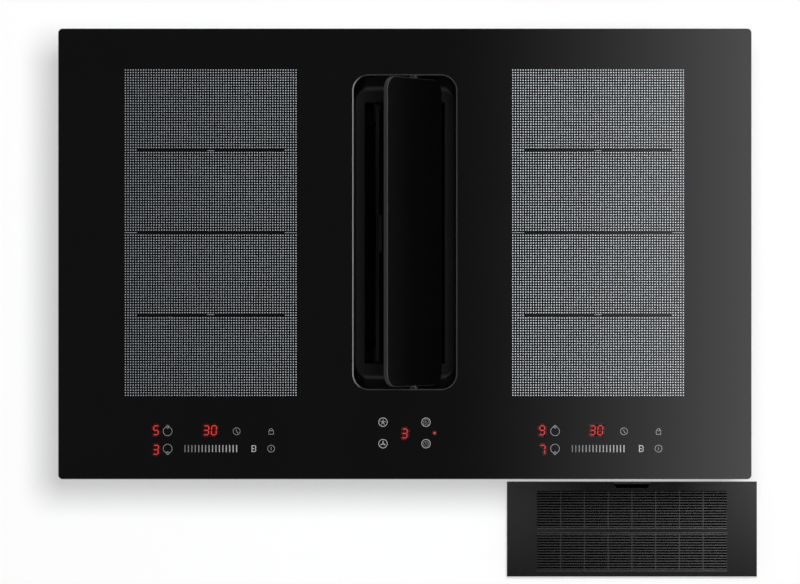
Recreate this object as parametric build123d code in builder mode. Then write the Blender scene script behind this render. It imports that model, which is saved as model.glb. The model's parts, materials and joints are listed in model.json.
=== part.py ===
"""Downdraft induction cooktop: a glass hob with a flap-covered vent and an extractor underneath.

The part stands on its lower box. Origin: on the bench plane, under the middle of the glass.
+X right, +Y to the back, +Z up, millimetres.
"""
from build123d import *
from math import cos, radians, sin
import os

os.makedirs("parts", exist_ok=True)

# --- glass and the printed cooking areas -----------------------------------------------
glass_length = 800.0
glass_width = 520.0
glass_thickness = 4.0
glass_corner = 5.0
glass_bevel = 0.6
area_side_margin = 76.5
area_inner_margin = 123.5
area_back_margin = 45.0
control_depth = 95.0
zones_per_area = 4

# --- vent in the middle ----------------------------------------------------------------
vent_width = 121.2
vent_end_inset = 7.7
vent_corner = 19.0
collar_wall = 1.3
collar_gap = 0.3
collar_depth = 54.0
collar_ledge = 2.5
bowl_depth = 38.0
bowl_end_inset = 16.0
bowl_side_inset = 1.8
bowl_corner = 12.0
bowl_steps = 6
hole_side_inset = 13.7
hole_end_inset = 28.9

# --- flap ------------------------------------------------------------------------------
flap_thickness = 5.0
flap_side_gap = 1.3
flap_end_gap = 3.5
flap_corner = 17.0
flap_bevel = 0.4
flap_open_angle = 57.0
pivot_offset = 11.0
pivot_depth = 8.0
pin_radius = 2.5
pin_fit = 0.02
bush_wall = 1.5
bush_fit = 0.05
boss_radius = 7.0
boss_depth = 2.6
bracket_sheet = 1.5
lug_length = 10.0
lug_gap = 8.0

# --- sheet metal, seals and heights ----------------------------------------------------
sheet = 1.0
box_height = 155.0
tray_height = 53.0
bond_thickness = 1.0
bond_width = 5.0
seal_thickness = 2.0
seal_width = 8.0
seal_inset = 4.0
seal_inner_corner = 2.5
worktop_overlap_side = 28.0
worktop_overlap_end = 18.0
tray_corner = 8.0
tray_inner_corner = 4.0
tray_flange = 7.0
louvre_height = 5.0
louvre_rise = 10.0
louvre_length = 18.0
louvre_pitch = 26.0
louvre_columns = 10
louvre_rows = 3
grille_margin = 12.0
grille_rows = 7

# --- duct sleeve -----------------------------------------------------------------------
sleeve_gap = 0.6
sleeve_wall = 2.0
sleeve_shelf = 3.0
shelf_hole_gap = 2.1
gasket_width = 5.0
gasket_thickness = 1.5
sheet_fit = 0.3

# --- charcoal cassettes and their holder -----------------------------------------------
cassette_height = 115.0
cassette_plate = 4.0
cassette_box = 12.0
cassette_end_gap = 1.9
cassette_side_gap = 1.0
cassette_wall = 2.0
box_end_inset = 25.5
box_edge_inset = 5.5
bed_fit = 0.3
window_end_inset = 36.2
window_top_inset = 11.3
window_foot_inset = 7.3
slat_pitch = 3.2
slat_height = 1.6
slat_depth = 2.0
rib_count = 7
rib_width = 1.2
middle_bar = 6.6
grip_width = 44.0
grip_lip = 2.6
grip_pocket = 5.0
grip_reach = 3.0
grip_angle = 60.0
back_columns = 8
back_rows = 4
cassette_shelf_gap = 8.0
holder_wall = 8.0
holder_floor = 4.0
holder_end_gap = 1.0
holder_side_gap = 11.1
holder_leg = 3.0
channel_fit = 0.3
channel_rib = 2.0
drip_end_inset = 12.5
loose_gap = 14.0
loose_x = 275.7

# --- grease filter ---------------------------------------------------------------------
basket_gap = 5.9
basket_end_gap = 3.4
basket_foot_gap = 32.0
basket_rim_gap = 0.5
basket_sheet = 1.2
basket_rail = 6.0
mesh_thickness = 4.0
mesh_hole = 7.0
mesh_pitch = 11.0
hook_length = 8.0
hook_width = 30.0
basket_posts = 5

# --- drip drawer -----------------------------------------------------------------------
drawer_wall = 2.0
drawer_leg_gap = 3.0
drawer_top_gap = 2.5
drawer_front = 3.0
drawer_grip = 14.0
rail_height = 1.5
rail_width = 12.0
slot_gap = 1.5

# --- lower box -------------------------------------------------------------------------
box_left_room = 66.5
box_side_inset = 22.5
box_right_room = 12.0
box_front_inset = 35.0
box_back_inset = 45.0
box_corner = 6.0
box_flange = 10.0
screw_radius = 2.0
screw_head = 3.5
screw_head_height = 2.4
screw_tip = 5.0
screw_fit = 0.1
screw_columns = 2
screw_rows = 3

# --- blower ----------------------------------------------------------------------------
scroll_radius = 93.0
scroll_step = 9.0
scroll_wall = 2.5
scroll_height = 88.0
scroll_lift = 9.0
tongue_angle = 65.0
exit_run = 145.0
outlet_length = 90.0
duct_room_left = 100.0
duct_room_right = 5.0
spigot_width = 218.0
spigot_height = 80.0
spigot_length = 33.0
grommet_radius = 8.0
grommet_spacing = 150.0
grommet_count = 4
inlet_radius = 72.0
bell_radius = 9.0
bell_wall = 2.0
wheel_radius = 85.0
wheel_height = 72.0
wheel_floor_gap = 5.5
blade_count = 36
blade_length = 17.0
blade_thickness = 1.4
blade_tilt = 35.0
wheel_plate = 1.5
motor_radius = 44.0
motor_height = 47.0
motor_gap = 3.0
shaft_radius = 4.0
shaft_fit = 0.05
hub_radius = 10.0
hub_height = 10.0

# --- non-return dampers ----------------------------------------------------------------
damper_thickness = 1.5
damper_setback = 10.0
damper_side_gap = 1.5
damper_foot_gap = 2.0
damper_frame_depth = 5.0
damper_frame_band = 5.0
damper_post = 4.0
damper_pin = 1.5
damper_pin_reach = 1.5

# --- induction parts -------------------------------------------------------------------
mica_thickness = 0.6
coil_height = 4.5
coil_side_gap = 7.0
coil_end_gap = 4.5
coil_band = 28.0
former_thickness = 2.0
former_rim = 2.0
ferrite_height = 5.0
ferrite_width = 12.0
ferrite_length = 66.0
ferrite_pitch = 28.0
ferrites_per_coil = 6
carrier_thickness = 1.5
carrier_margin = 7.0
post_radius = 3.0
post_foot = 7.0
post_foot_height = 3.0
post_inset = 6.0
post_end_inset = 8.0
post_head = 2.5
post_columns = 2
post_rows = 3
spring_radius = 6.0
spring_wall = 1.5
sensor_radius = 4.8
board_thickness = 1.6
board_lift = 8.0
board_inset = 12.0
board_front_gap = 25.0
board_fan_gap = 21.0
standoff_inset = 8.0
standoff_radius = 3.0
sink_base = 4.0
heat_sink_width = 60.0
heat_sink_length = 130.0
heat_sink_height = 24.0
fin_count = 10
fin_thickness = 2.0
capacitor_radius = 9.0
capacitor_height = 22.0
capacitor_pitch = 27.0
capacitors_per_board = 4
fan_size = 88.0
fan_height = 26.0
fan_bore = 39.0
fan_hub = 15.0
fan_floor = 3.0
fan_spokes = 4
fan_corner = 8.0
fan_shaft_radius = 2.0
fan_back_gap = 60.0
rotor_gap = 1.5
rotor_blades = 7
rotor_blade_sheet = 1.5
rotor_pitch_angle = 45.0

# --- touch keys and mains --------------------------------------------------------------
touch_front_gap = 22.0
touch_depth = 52.0
touch_length = 172.0
fan_touch_length = 92.0
touch_lift = 6.0
display_height = 5.0
spring_pad = 4.0
display_width = 10.0
display_depth = 16.0
timer_display_width = 20.0
upper_row_dy = 8.4
lower_row_dy = -14.3
zone_digit_dx = -64.1
timer_digit_dx = -0.8
fan_digit_dy = 4.6
slider_pads = 6
slider_pad_pitch = 12.0
timer_key_dx = -50.2
clock_key_dx = 29.4
boost_key_dx = 49.2
lock_key_dx = 69.2
upper_key_dy = 7.3
lower_key_dy = -12.7
fan_key_dx = 25.0
fan_key_upper_dy = 17.8
fan_key_lower_dy = -7.0
filter_width = 34.0
filter_length = 190.0
choke_radius = 11.0
choke_eye = 4.5
choke_height = 20.0
choke_pitch = 48.0
choke_count = 3
relay_size = 17.0
relay_height = 10.0
terminal_width = 100.0
terminal_depth = 64.0
terminal_drop = 36.0
terminal_wall = 2.0
terminal_side_inset = 85.0
terminal_back_inset = 80.0
gland_bore = 5.0
gland_radius = 11.0
gland_length = 26.0
gland_nut = 8.0
gland_sides = 6
terminal_poles = 6
pole_pitch = 12.0
pole_radius = 3.0
block_depth = 24.0
block_height = 20.0
clamp_width = 24.0
clamp_sheet = 1.5
clamp_leg = 30.0
clamp_arm = 20.0
clamp_spread = 150.0
clamp_screw = 2.5
clamp_travel = 18.0
clamp_pad = 4.5

# --- heights worked out from the stack, bottom to top ----------------------------------
lid_top = box_height + sheet
tray_floor = lid_top + sheet
tray_top = lid_top + tray_height
glass_bottom = tray_top + bond_thickness
glass_top = glass_bottom + glass_thickness
ledge_top = glass_top - collar_depth
ledge_bottom = ledge_top - collar_ledge
shelf_top = ledge_bottom - gasket_thickness
shelf_bottom = shelf_top - sleeve_shelf
cassette_top = shelf_bottom - cassette_shelf_gap
cassette_foot = cassette_top - cassette_height
holder_foot = cassette_foot - holder_floor

# --- plan positions --------------------------------------------------------------------
area_width = glass_length / 2 - area_side_margin - area_inner_margin
area_length = glass_width - area_back_margin - control_depth
area_y = glass_width / 2 - area_back_margin - area_length / 2
area_x = area_inner_margin + area_width / 2
area_places = [(-area_x, area_y), (area_x, area_y)]
vent_length = area_length - 2 * vent_end_inset
cutout_width = vent_width + 2 * collar_gap
cutout_length = vent_length + 2 * collar_gap
hole_width = vent_width - 2 * hole_side_inset
hole_length = vent_length - 2 * hole_end_inset
tray_length = glass_length - 2 * worktop_overlap_side
tray_width = glass_width - 2 * worktop_overlap_end
sleeve_width = cutout_width + 2 * (sleeve_gap + sleeve_wall)
sleeve_length = cutout_length + 2 * (sleeve_gap + sleeve_wall)


# === glass, seal and bond ===============================================================
with BuildPart() as glass_plate:
    with BuildSketch(Plane.XY.offset(glass_bottom)):
        RectangleRounded(glass_length, glass_width, glass_corner)
        with Locations((0, area_y)):
            RectangleRounded(
                cutout_width, cutout_length, vent_corner + collar_gap, mode=Mode.SUBTRACT
            )
    extrude(amount=glass_thickness)
    ground_edges = glass_plate.faces().sort_by(Axis.Z)[-1].outer_wire().edges()
    chamfer(ground_edges, glass_bevel)
glass_plate.part.label = "glass_plate"
export_step(glass_plate.part, "parts/glass_plate.step")

seal_length = glass_length - 2 * seal_inset
seal_depth = glass_width - 2 * seal_inset
with BuildPart() as glass_seal:
    with BuildSketch(Plane.XY.offset(glass_bottom - seal_thickness)):
        RectangleRounded(seal_length, seal_depth, glass_corner)
        RectangleRounded(
            seal_length - 2 * seal_width, seal_depth - 2 * seal_width, seal_inner_corner, mode=Mode.SUBTRACT
        )
    extrude(amount=seal_thickness)
glass_seal.part.label = "glass_seal"
export_step(glass_seal.part, "parts/glass_seal.step")

bond_edge = (tray_flange - bond_width) / 2
bond_length = tray_length - 2 * bond_edge
bond_depth = tray_width - 2 * bond_edge
with BuildPart() as glass_bond:
    with BuildSketch(Plane.XY.offset(tray_top)):
        RectangleRounded(bond_length, bond_depth, tray_corner - bond_edge)
        RectangleRounded(
            bond_length - 2 * bond_width, bond_depth - 2 * bond_width, tray_inner_corner, mode=Mode.SUBTRACT
        )
    extrude(amount=bond_thickness)
glass_bond.part.label = "glass_bond"
export_step(glass_bond.part, "parts/glass_bond.step")

# === lower box outline, needed by the screws, the lid and the tray ======================
holder_half_width = hole_width / 2 + holder_side_gap
box_left = -(sleeve_width / 2 + box_left_room)
box_right = tray_length / 2 - box_side_inset - box_flange
scroll_out_x = box_right - box_right_room - scroll_wall
blower_x = scroll_out_x - scroll_radius - 3 * scroll_step
box_front = box_front_inset - glass_width / 2
box_back = glass_width / 2 - box_back_inset
box_mid = ((box_left + box_right) / 2, (box_front + box_back) / 2)
box_length = box_right - box_left
box_depth = box_back - box_front
screw_dx = box_length + box_flange
screw_dy = (box_depth + box_flange) / (screw_rows - 1)

# === upper tray =========================================================================
fan_y = area_y + area_length / 2 - fan_back_gap
fan_places = [(-area_x, fan_y), (area_x, fan_y)]
grille_length = fan_size - 2 * grille_margin
with BuildPart() as upper_tray:
    with BuildSketch(Plane.XY.offset(lid_top)):
        RectangleRounded(tray_length, tray_width, tray_corner)
    extrude(amount=tray_height)
    with BuildSketch(Plane.XY.offset(tray_floor)):
        RectangleRounded(tray_length - 2 * sheet, tray_width - 2 * sheet, tray_corner - sheet)
    extrude(amount=tray_height - 2 * sheet, mode=Mode.SUBTRACT)
    with BuildSketch(Plane.XY.offset(tray_top - sheet)):
        RectangleRounded(
            tray_length - 2 * tray_flange, tray_width - 2 * tray_flange, tray_inner_corner
        )
    extrude(amount=sheet, mode=Mode.SUBTRACT)
    with BuildSketch(Plane.XY.offset(lid_top)):
        with Locations((0, area_y)):
            RectangleRounded(
                sleeve_width + 2 * sheet_fit, sleeve_length + 2 * sheet_fit, vent_corner + sleeve_wall
            )
        with Locations(*fan_places):
            with GridLocations(0, louvre_rise, 1, grille_rows):
                SlotOverall(grille_length, louvre_height)
        with Locations(box_mid):
            with GridLocations(screw_dx, screw_dy, screw_columns, screw_rows):
                Circle(screw_radius + screw_fit)
    extrude(amount=sheet, mode=Mode.SUBTRACT)
    with BuildSketch(Plane.YZ.offset(-tray_length / 2)):
        with Locations((area_y, lid_top + tray_height / 2)):
            with GridLocations(louvre_pitch, louvre_rise, louvre_columns, louvre_rows):
                SlotOverall(louvre_length, louvre_height)
    extrude(amount=tray_length, mode=Mode.SUBTRACT)
upper_tray.part.label = "upper_tray"
export_step(upper_tray.part, "parts/upper_tray.step")

# === duct sleeve and its gasket =========================================================
shelf_hole_width = hole_width + 2 * shelf_hole_gap
shelf_hole_length = hole_length + 2 * shelf_hole_gap
with BuildPart() as duct_sleeve:
    with BuildSketch(Plane.XY.offset(shelf_bottom)):
        with Locations((0, area_y)):
            RectangleRounded(sleeve_width, sleeve_length, vent_corner + sleeve_wall)
    extrude(amount=glass_bottom - shelf_bottom)
    with BuildSketch(Plane.XY.offset(shelf_top)):
        with Locations((0, area_y)):
            RectangleRounded(
                sleeve_width - 2 * sleeve_wall, sleeve_length - 2 * sleeve_wall, vent_corner
            )
    extrude(amount=glass_bottom - shelf_top, mode=Mode.SUBTRACT)
    with BuildSketch(Plane.XY.offset(shelf_bottom)):
        with Locations((0, area_y)):
            Rectangle(shelf_hole_width, shelf_hole_length)
    extrude(amount=sleeve_shelf, mode=Mode.SUBTRACT)
duct_sleeve.part.label = "duct_sleeve"
export_step(duct_sleeve.part, "parts/duct_sleeve.step")

with BuildPart() as intake_gasket:
    with BuildSketch(Plane.XY.offset(shelf_top)):
        with Locations((0, area_y)):
            RectangleRounded(
                shelf_hole_width + 2 * gasket_width, shelf_hole_length + 2 * gasket_width, gasket_width
            )
            Rectangle(shelf_hole_width, shelf_hole_length, mode=Mode.SUBTRACT)
    extrude(amount=gasket_thickness)
intake_gasket.part.label = "intake_gasket"
export_step(intake_gasket.part, "parts/intake_gasket.step")

# === intake collar: a bowl with a flat ledge round the hole =============================
collar_half_x = vent_width / 2 - collar_wall
collar_half_y = vent_length / 2 - collar_wall
bowl_top = ledge_top + bowl_depth


def bowl_section(step):
    """Inside half width, half length, corner radius and height of one level of the bowl.

    The wall follows a quarter ellipse: upright at the top, level where it meets the ledge.
    """
    turn = radians(90.0 * step / bowl_steps)
    inward = 1.0 - cos(turn)
    half_x = collar_half_x - bowl_side_inset * inward
    half_y = collar_half_y - bowl_end_inset * inward
    corner = vent_corner - collar_wall - (vent_corner - collar_wall - bowl_corner) * inward
    return half_x, half_y, corner, bowl_top - bowl_depth * sin(turn)


bowl_levels = [bowl_section(step) for step in range(bowl_steps, -1, -1)]
pivot_z = glass_top - pivot_depth
boss_face = collar_half_y - boss_depth
bush_radius = pin_radius + bush_fit + bush_wall
with BuildPart() as intake_collar:
    for half_x, half_y, corner, level in bowl_levels:
        with BuildSketch(Plane.XY.offset(level)):
            with Locations((0, area_y)):
                RectangleRounded(
                    2 * (half_x + collar_wall), 2 * (half_y + collar_wall), corner + collar_wall
                )
    loft()
    with BuildSketch(Plane.XY.offset(bowl_top)):
        with Locations((0, area_y)):
            RectangleRounded(vent_width, vent_length, vent_corner)
    extrude(amount=glass_top - bowl_top)
    for half_x, half_y, corner, level in bowl_levels:
        with BuildSketch(Plane.XY.offset(level)):
            with Locations((0, area_y)):
                RectangleRounded(2 * half_x, 2 * half_y, corner)
    loft(mode=Mode.SUBTRACT)
    with BuildSketch(Plane.XY.offset(bowl_top)):
        with Locations((0, area_y)):
            RectangleRounded(2 * collar_half_x, 2 * collar_half_y, vent_corner - collar_wall)
    extrude(amount=glass_top - bowl_top, mode=Mode.SUBTRACT)
    ledge_half_x, ledge_half_y, ledge_corner = bowl_levels[0][:3]
    with BuildSketch(Plane.XY.offset(ledge_bottom)):
        with Locations((0, area_y)):
            RectangleRounded(
                2 * (ledge_half_x + collar_wall), 2 * (ledge_half_y + collar_wall),
                ledge_corner + collar_wall,
            )
            Rectangle(hole_width, hole_length, mode=Mode.SUBTRACT)
    extrude(amount=collar_ledge)
    for end in (-1, 1):
        with BuildSketch(Plane.XZ.offset(-(area_y + end * boss_face))):
            with Locations((pivot_offset, pivot_z)):
                Circle(boss_radius)
        extrude(amount=-end * (boss_depth + collar_wall / 2))
        with BuildSketch(Plane.XZ.offset(-(area_y + end * boss_face))):
            with Locations((pivot_offset, pivot_z)):
                Circle(bush_radius)
        extrude(amount=-end * (boss_depth + 2 * collar_wall), mode=Mode.SUBTRACT)
intake_collar.part.label = "intake_collar"
export_step(intake_collar.part, "parts/intake_collar.step")

with BuildPart() as flap_bushes:
    for end in (-1, 1):
        with BuildSketch(Plane.XZ.offset(-(area_y + end * boss_face))):
            with Locations((pivot_offset, pivot_z)):
                Circle(bush_radius)
                Circle(pin_radius + bush_fit, mode=Mode.SUBTRACT)
        extrude(amount=-end * (boss_depth + collar_wall))
flap_bushes.part.label = "flap_bushes"
export_step(flap_bushes.part, "parts/flap_bushes.step")

# === grease filter: a basket hooked over the ends of the hole ===========================
cassette_back = hole_width / 2 - cassette_side_gap
cassette_face = cassette_back - cassette_box - cassette_plate
basket_half_x = cassette_face - basket_gap
basket_half_y = hole_length / 2 - basket_end_gap
basket_foot = cassette_foot + basket_foot_gap
basket_rim = ledge_bottom - basket_rim_gap
basket_inner_x = basket_half_x - 2 * basket_sheet
with BuildPart() as grease_filter_frame:
    for end in (-1, 1):
        with Locations((0, area_y + end * (basket_half_y - basket_sheet / 2), basket_foot)):
            Box(
                2 * basket_half_x, basket_sheet, basket_rim - basket_foot,
                align=(Align.CENTER, Align.CENTER, Align.MIN),
            )
            Box(
                hook_width, basket_sheet, ledge_top + basket_sheet - basket_foot,
                align=(Align.CENTER, Align.CENTER, Align.MIN),
            )
        hook_middle = hole_length / 2 + hook_length / 2 - basket_end_gap / 2
        with Locations((0, area_y + end * hook_middle, ledge_top)):
            Box(
                hook_width, hook_length + basket_end_gap, basket_sheet,
                align=(Align.CENTER, Align.CENTER, Align.MIN),
            )
    for side in (-1, 1):
        rail_x = side * (basket_half_x - basket_sheet)
        for rail_z in (basket_foot, basket_rim - basket_rail):
            with Locations((rail_x, area_y, rail_z)):
                Box(
                    2 * basket_sheet, 2 * basket_half_y, basket_rail,
                    align=(Align.CENTER, Align.CENTER, Align.MIN),
                )
        with Locations((rail_x, area_y, (basket_foot + basket_rim) / 2)):
            with GridLocations(0, 2 * basket_half_y / (basket_posts + 1), 1, basket_posts):
                Box(2 * basket_sheet, 2 * basket_sheet, basket_rim - basket_foot)
grease_filter_frame.part.label = "grease_filter_frame"
export_step(grease_filter_frame.part, "parts/grease_filter_frame.step")

mesh_top = basket_rim - basket_sheet
mesh_length = 2 * (basket_half_y - basket_sheet)
mesh_rows = int((mesh_top - basket_foot - mesh_thickness) // mesh_pitch)
mesh_columns = int(mesh_length // mesh_pitch) - 1
with BuildPart() as grease_filter_mesh:
    with Locations((0, area_y, basket_foot)):
        Box(
            2 * basket_inner_x, mesh_length, mesh_top - basket_foot,
            align=(Align.CENTER, Align.CENTER, Align.MIN),
        )
    with Locations((0, area_y, basket_foot + mesh_thickness)):
        Box(
            2 * (basket_inner_x - mesh_thickness), mesh_length, mesh_top - basket_foot,
            align=(Align.CENTER, Align.CENTER, Align.MIN), mode=Mode.SUBTRACT,
        )
    with BuildSketch(Plane.YZ.offset(-basket_half_x)):
        with Locations((area_y, (basket_foot + mesh_thickness + mesh_top) / 2)):
            with GridLocations(mesh_pitch, mesh_pitch, mesh_columns, mesh_rows):
                Rectangle(mesh_hole, mesh_hole, rotation=45)
    extrude(amount=2 * basket_half_x, mode=Mode.SUBTRACT)
grease_filter_mesh.part.label = "grease_filter_mesh"
export_step(grease_filter_mesh.part, "parts/grease_filter_mesh.step")

# === flap, drawn as it stands open ======================================================
flap_width = 2 * (collar_half_x - flap_side_gap)
flap_length = 2 * (collar_half_y - flap_end_gap)
open_cos = cos(radians(flap_open_angle))
open_sin = sin(radians(flap_open_angle))
flap_plane = Plane(
    origin=(pivot_offset, area_y, pivot_z), x_dir=(open_cos, 0, -open_sin), z_dir=(open_sin, 0, open_cos)
)
flap_underside = pivot_depth - flap_thickness
with BuildPart() as flap_glass:
    with BuildSketch(flap_plane.offset(flap_underside)):
        with Locations((-pivot_offset, 0)):
            RectangleRounded(flap_width, flap_length, flap_corner)
    extrude(amount=flap_thickness)
    flap_up = Axis(flap_plane.origin, flap_plane.z_dir)
    flap_rim = flap_glass.faces().sort_by(flap_up)[-1].outer_wire().edges()
    chamfer(flap_rim, flap_bevel)
flap_glass.part.label = "flap_glass"
export_step(flap_glass.part, "parts/flap_glass.step")

bracket_width = flap_width / 2
lug_width = 4 * (pin_radius + bush_fit)
lug_drop = 2 * pin_radius
lug_end = boss_face - lug_gap
with BuildPart() as flap_bracket:
    with BuildSketch(flap_plane.offset(flap_underside - bracket_sheet)):
        with Locations((-pivot_offset, 0)):
            Rectangle(bracket_width, 2 * lug_end)
        Rectangle(lug_width, 2 * lug_end)
    extrude(amount=bracket_sheet)
    for end in (-1, 1):
        with BuildSketch(flap_plane.offset(-lug_drop)):
            with Locations((0, end * (lug_end - lug_length / 2))):
                Rectangle(lug_width, lug_length)
        extrude(amount=lug_drop + flap_underside - bracket_sheet)
    with BuildSketch(Plane.XZ.offset(-area_y)):
        with Locations((pivot_offset, pivot_z)):
            Circle(pin_radius + pin_fit)
    extrude(amount=lug_end, both=True, mode=Mode.SUBTRACT)
flap_bracket.part.label = "flap_bracket"
export_step(flap_bracket.part, "parts/flap_bracket.step")

pin_tip = vent_length / 2 - collar_gap
with BuildPart() as flap_pins:
    for end in (-1, 1):
        with BuildSketch(Plane.XZ.offset(-(area_y + end * (lug_end - lug_length)))):
            with Locations((pivot_offset, pivot_z)):
                Circle(pin_radius)
        extrude(amount=-end * (pin_tip - lug_end + lug_length))
flap_pins.part.label = "flap_pins"
export_step(flap_pins.part, "parts/flap_pins.step")

# === charcoal cassettes: one stands in the holder, one lies face up on the bench ========
cassette_length = hole_length - 2 * cassette_end_gap
cassette_depth = cassette_box + cassette_plate
box_run = cassette_length - 2 * box_end_inset
box_rise = cassette_height - 2 * box_edge_inset
window_run = cassette_length - 2 * window_end_inset
window_rise = cassette_height - window_top_inset - window_foot_inset
window_y = (window_foot_inset - window_top_inset) / 2
slats_above = int((window_rise - middle_bar) / 2 // slat_pitch)
slat_run = slats_above * slat_pitch
back_pitch_x = window_run / back_columns
back_pitch_y = window_rise / back_rows
grip_y = cassette_height / 2 - grip_lip - grip_pocket / 2
bed_margin = 2 * (cassette_wall + bed_fit)
installed_plane = Plane(
    origin=(-cassette_back, area_y, cassette_foot + cassette_height / 2), x_dir=(0, 1, 0), z_dir=(1, 0, 0)
)
loose_y = -glass_width / 2 - loose_gap - cassette_height / 2
loose_plane = Plane(origin=(loose_x, loose_y, 0), x_dir=(1, 0, 0), z_dir=(0, 0, 1))

for place, where in ((installed_plane, "left"), (loose_plane, "loose")):
    with BuildPart() as cassette_frame:
        with BuildSketch(place):
            Rectangle(box_run, box_rise)
        extrude(amount=cassette_box)
        with BuildSketch(place.offset(cassette_box)):
            Rectangle(cassette_length, cassette_height)
        extrude(amount=cassette_plate)
        with BuildSketch(place.offset(cassette_wall)):
            Rectangle(box_run - 2 * cassette_wall, box_rise - 2 * cassette_wall)
        extrude(amount=cassette_box - cassette_wall, mode=Mode.SUBTRACT)
        with BuildSketch(place):
            with GridLocations(back_pitch_x, back_pitch_y, back_columns, back_rows):
                Rectangle(back_pitch_x - 2 * cassette_wall, back_pitch_y - 2 * cassette_wall)
        extrude(amount=cassette_wall, mode=Mode.SUBTRACT)
        with BuildSketch(place.offset(cassette_box)):
            with Locations((0, window_y)):
                Rectangle(window_run, window_rise)
        extrude(amount=cassette_plate, mode=Mode.SUBTRACT)
        with BuildSketch(place.offset(cassette_depth - slat_depth)):
            with Locations((0, window_y)):
                Rectangle(window_run, middle_bar)
                with GridLocations(window_run / (rib_count + 1), 0, rib_count, 1):
                    Rectangle(rib_width, window_rise)
            for half in (-1, 1):
                with Locations((0, window_y + half * (middle_bar + slat_run) / 2)):
                    with GridLocations(0, slat_pitch, 1, slats_above):
                        Rectangle(window_run, slat_height)
        extrude(amount=slat_depth)
        with BuildSketch(place.offset(cassette_box + cassette_plate / 2)):
            with Locations((0, grip_y)):
                Trapezoid(grip_width, grip_pocket, grip_angle, rotation=180)
        extrude(amount=cassette_plate / 2, mode=Mode.SUBTRACT)
        with BuildSketch(place.offset(cassette_depth)):
            with Locations((0, cassette_height / 2 - grip_lip / 2)):
                Rectangle(grip_width, grip_lip)
        extrude(amount=grip_reach)
    cassette_frame.part.label = f"cassette_frame_{where}"
    export_step(cassette_frame.part, f"parts/cassette_frame_{where}.step")

    with BuildPart() as charcoal_bed:
        with BuildSketch(place.offset(cassette_wall)):
            Rectangle(box_run - bed_margin, box_rise - bed_margin)
        extrude(amount=cassette_box - cassette_wall)
    charcoal_bed.part.label = f"charcoal_bed_{where}"
    export_step(charcoal_bed.part, f"parts/charcoal_bed_{where}.step")

# === cassette holder: floor with a drip opening, two slotted end walls, two legs ========
end_wall_face = cassette_length / 2 + holder_end_gap
holder_half_length = end_wall_face + holder_wall
plate_back = cassette_face + cassette_plate
inner_rib_x = cassette_face - channel_fit - channel_rib / 2
outer_rib_x = plate_back + channel_fit + channel_rib / 2
outer_rib_length = box_end_inset - 2 * channel_rib
with BuildPart() as cassette_holder:
    with BuildSketch(Plane.XY.offset(holder_foot)):
        with Locations((0, area_y)):
            Rectangle(2 * holder_half_width, 2 * holder_half_length)
            Rectangle(
                2 * (inner_rib_x - 2 * channel_rib), 2 * (end_wall_face - drip_end_inset), mode=Mode.SUBTRACT
            )
    extrude(amount=holder_floor)
    for end in (-1, 1):
        with BuildSketch(Plane.XY.offset(cassette_foot)):
            with Locations((0, area_y + end * (end_wall_face + holder_wall / 2))):
                Rectangle(2 * holder_half_width, holder_wall)
            with Locations((0, area_y + end * (end_wall_face - holder_wall / 2))):
                with GridLocations(2 * inner_rib_x, 0, 2, 1):
                    Rectangle(channel_rib, holder_wall)
            with Locations((0, area_y + end * (end_wall_face - outer_rib_length / 2))):
                with GridLocations(2 * outer_rib_x, 0, 2, 1):
                    Rectangle(channel_rib, outer_rib_length)
        extrude(amount=shelf_bottom - cassette_foot)
    with BuildSketch(Plane.XY.offset(sheet)):
        with Locations((0, area_y)):
            with GridLocations(2 * holder_half_width - holder_leg, 0, 2, 1):
                Rectangle(holder_leg, 2 * holder_half_length)
    extrude(amount=holder_foot - sheet)
cassette_holder.part.label = "cassette_holder"
export_step(cassette_holder.part, "parts/cassette_holder.step")

# === drip drawer on two rails ===========================================================
drawer_half_x = holder_half_width - holder_leg - drawer_leg_gap
drawer_back = area_y + end_wall_face
drawer_foot = sheet + rail_height
drawer_top = holder_foot - drawer_top_gap
drawer_run = drawer_back - box_front
with BuildPart() as drip_drawer:
    with BuildSketch(Plane.XY.offset(drawer_foot)):
        with Locations((0, box_front + drawer_run / 2)):
            Rectangle(2 * drawer_half_x, drawer_run)
    extrude(amount=drawer_top - drawer_foot)
    with BuildSketch(Plane.XY.offset(drawer_foot + drawer_wall)):
        with Locations((0, box_front + drawer_run / 2)):
            RectangleRounded(2 * (drawer_half_x - drawer_wall), drawer_run - 2 * drawer_wall, drawer_wall)
    extrude(amount=drawer_top - drawer_foot - drawer_wall, mode=Mode.SUBTRACT)
    with BuildSketch(Plane.XZ.offset(-box_front)):
        with Locations((0, (drawer_foot + drawer_top) / 2)):
            Rectangle(2 * (drawer_half_x + drawer_leg_gap), drawer_top - drawer_foot + drawer_leg_gap)
    extrude(amount=drawer_front)
    with BuildSketch(Plane.XY.offset(drawer_top - drawer_wall)):
        with Locations((0, box_front - drawer_front - drawer_grip / 2)):
            Rectangle(drawer_half_x, drawer_grip)
    extrude(amount=drawer_wall)
drip_drawer.part.label = "drip_drawer"
export_step(drip_drawer.part, "parts/drip_drawer.step")

rail_start = box_front + sheet
with BuildPart() as drawer_rails:
    with BuildSketch(Plane.XY.offset(sheet)):
        with Locations((0, (rail_start + drawer_back) / 2)):
            with GridLocations(2 * (drawer_half_x - rail_width), 0, 2, 1):
                Rectangle(rail_width, drawer_back - rail_start)
    extrude(amount=rail_height)
drawer_rails.part.label = "drawer_rails"
export_step(drawer_rails.part, "parts/drawer_rails.step")

# === blower =============================================================================
exit_y = box_back - outlet_length
blower_y = exit_y - exit_run
scroll_foot = sheet + scroll_lift
cover_foot = scroll_foot + scroll_height
tongue_x = blower_x + scroll_radius * cos(radians(tongue_angle))


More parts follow.
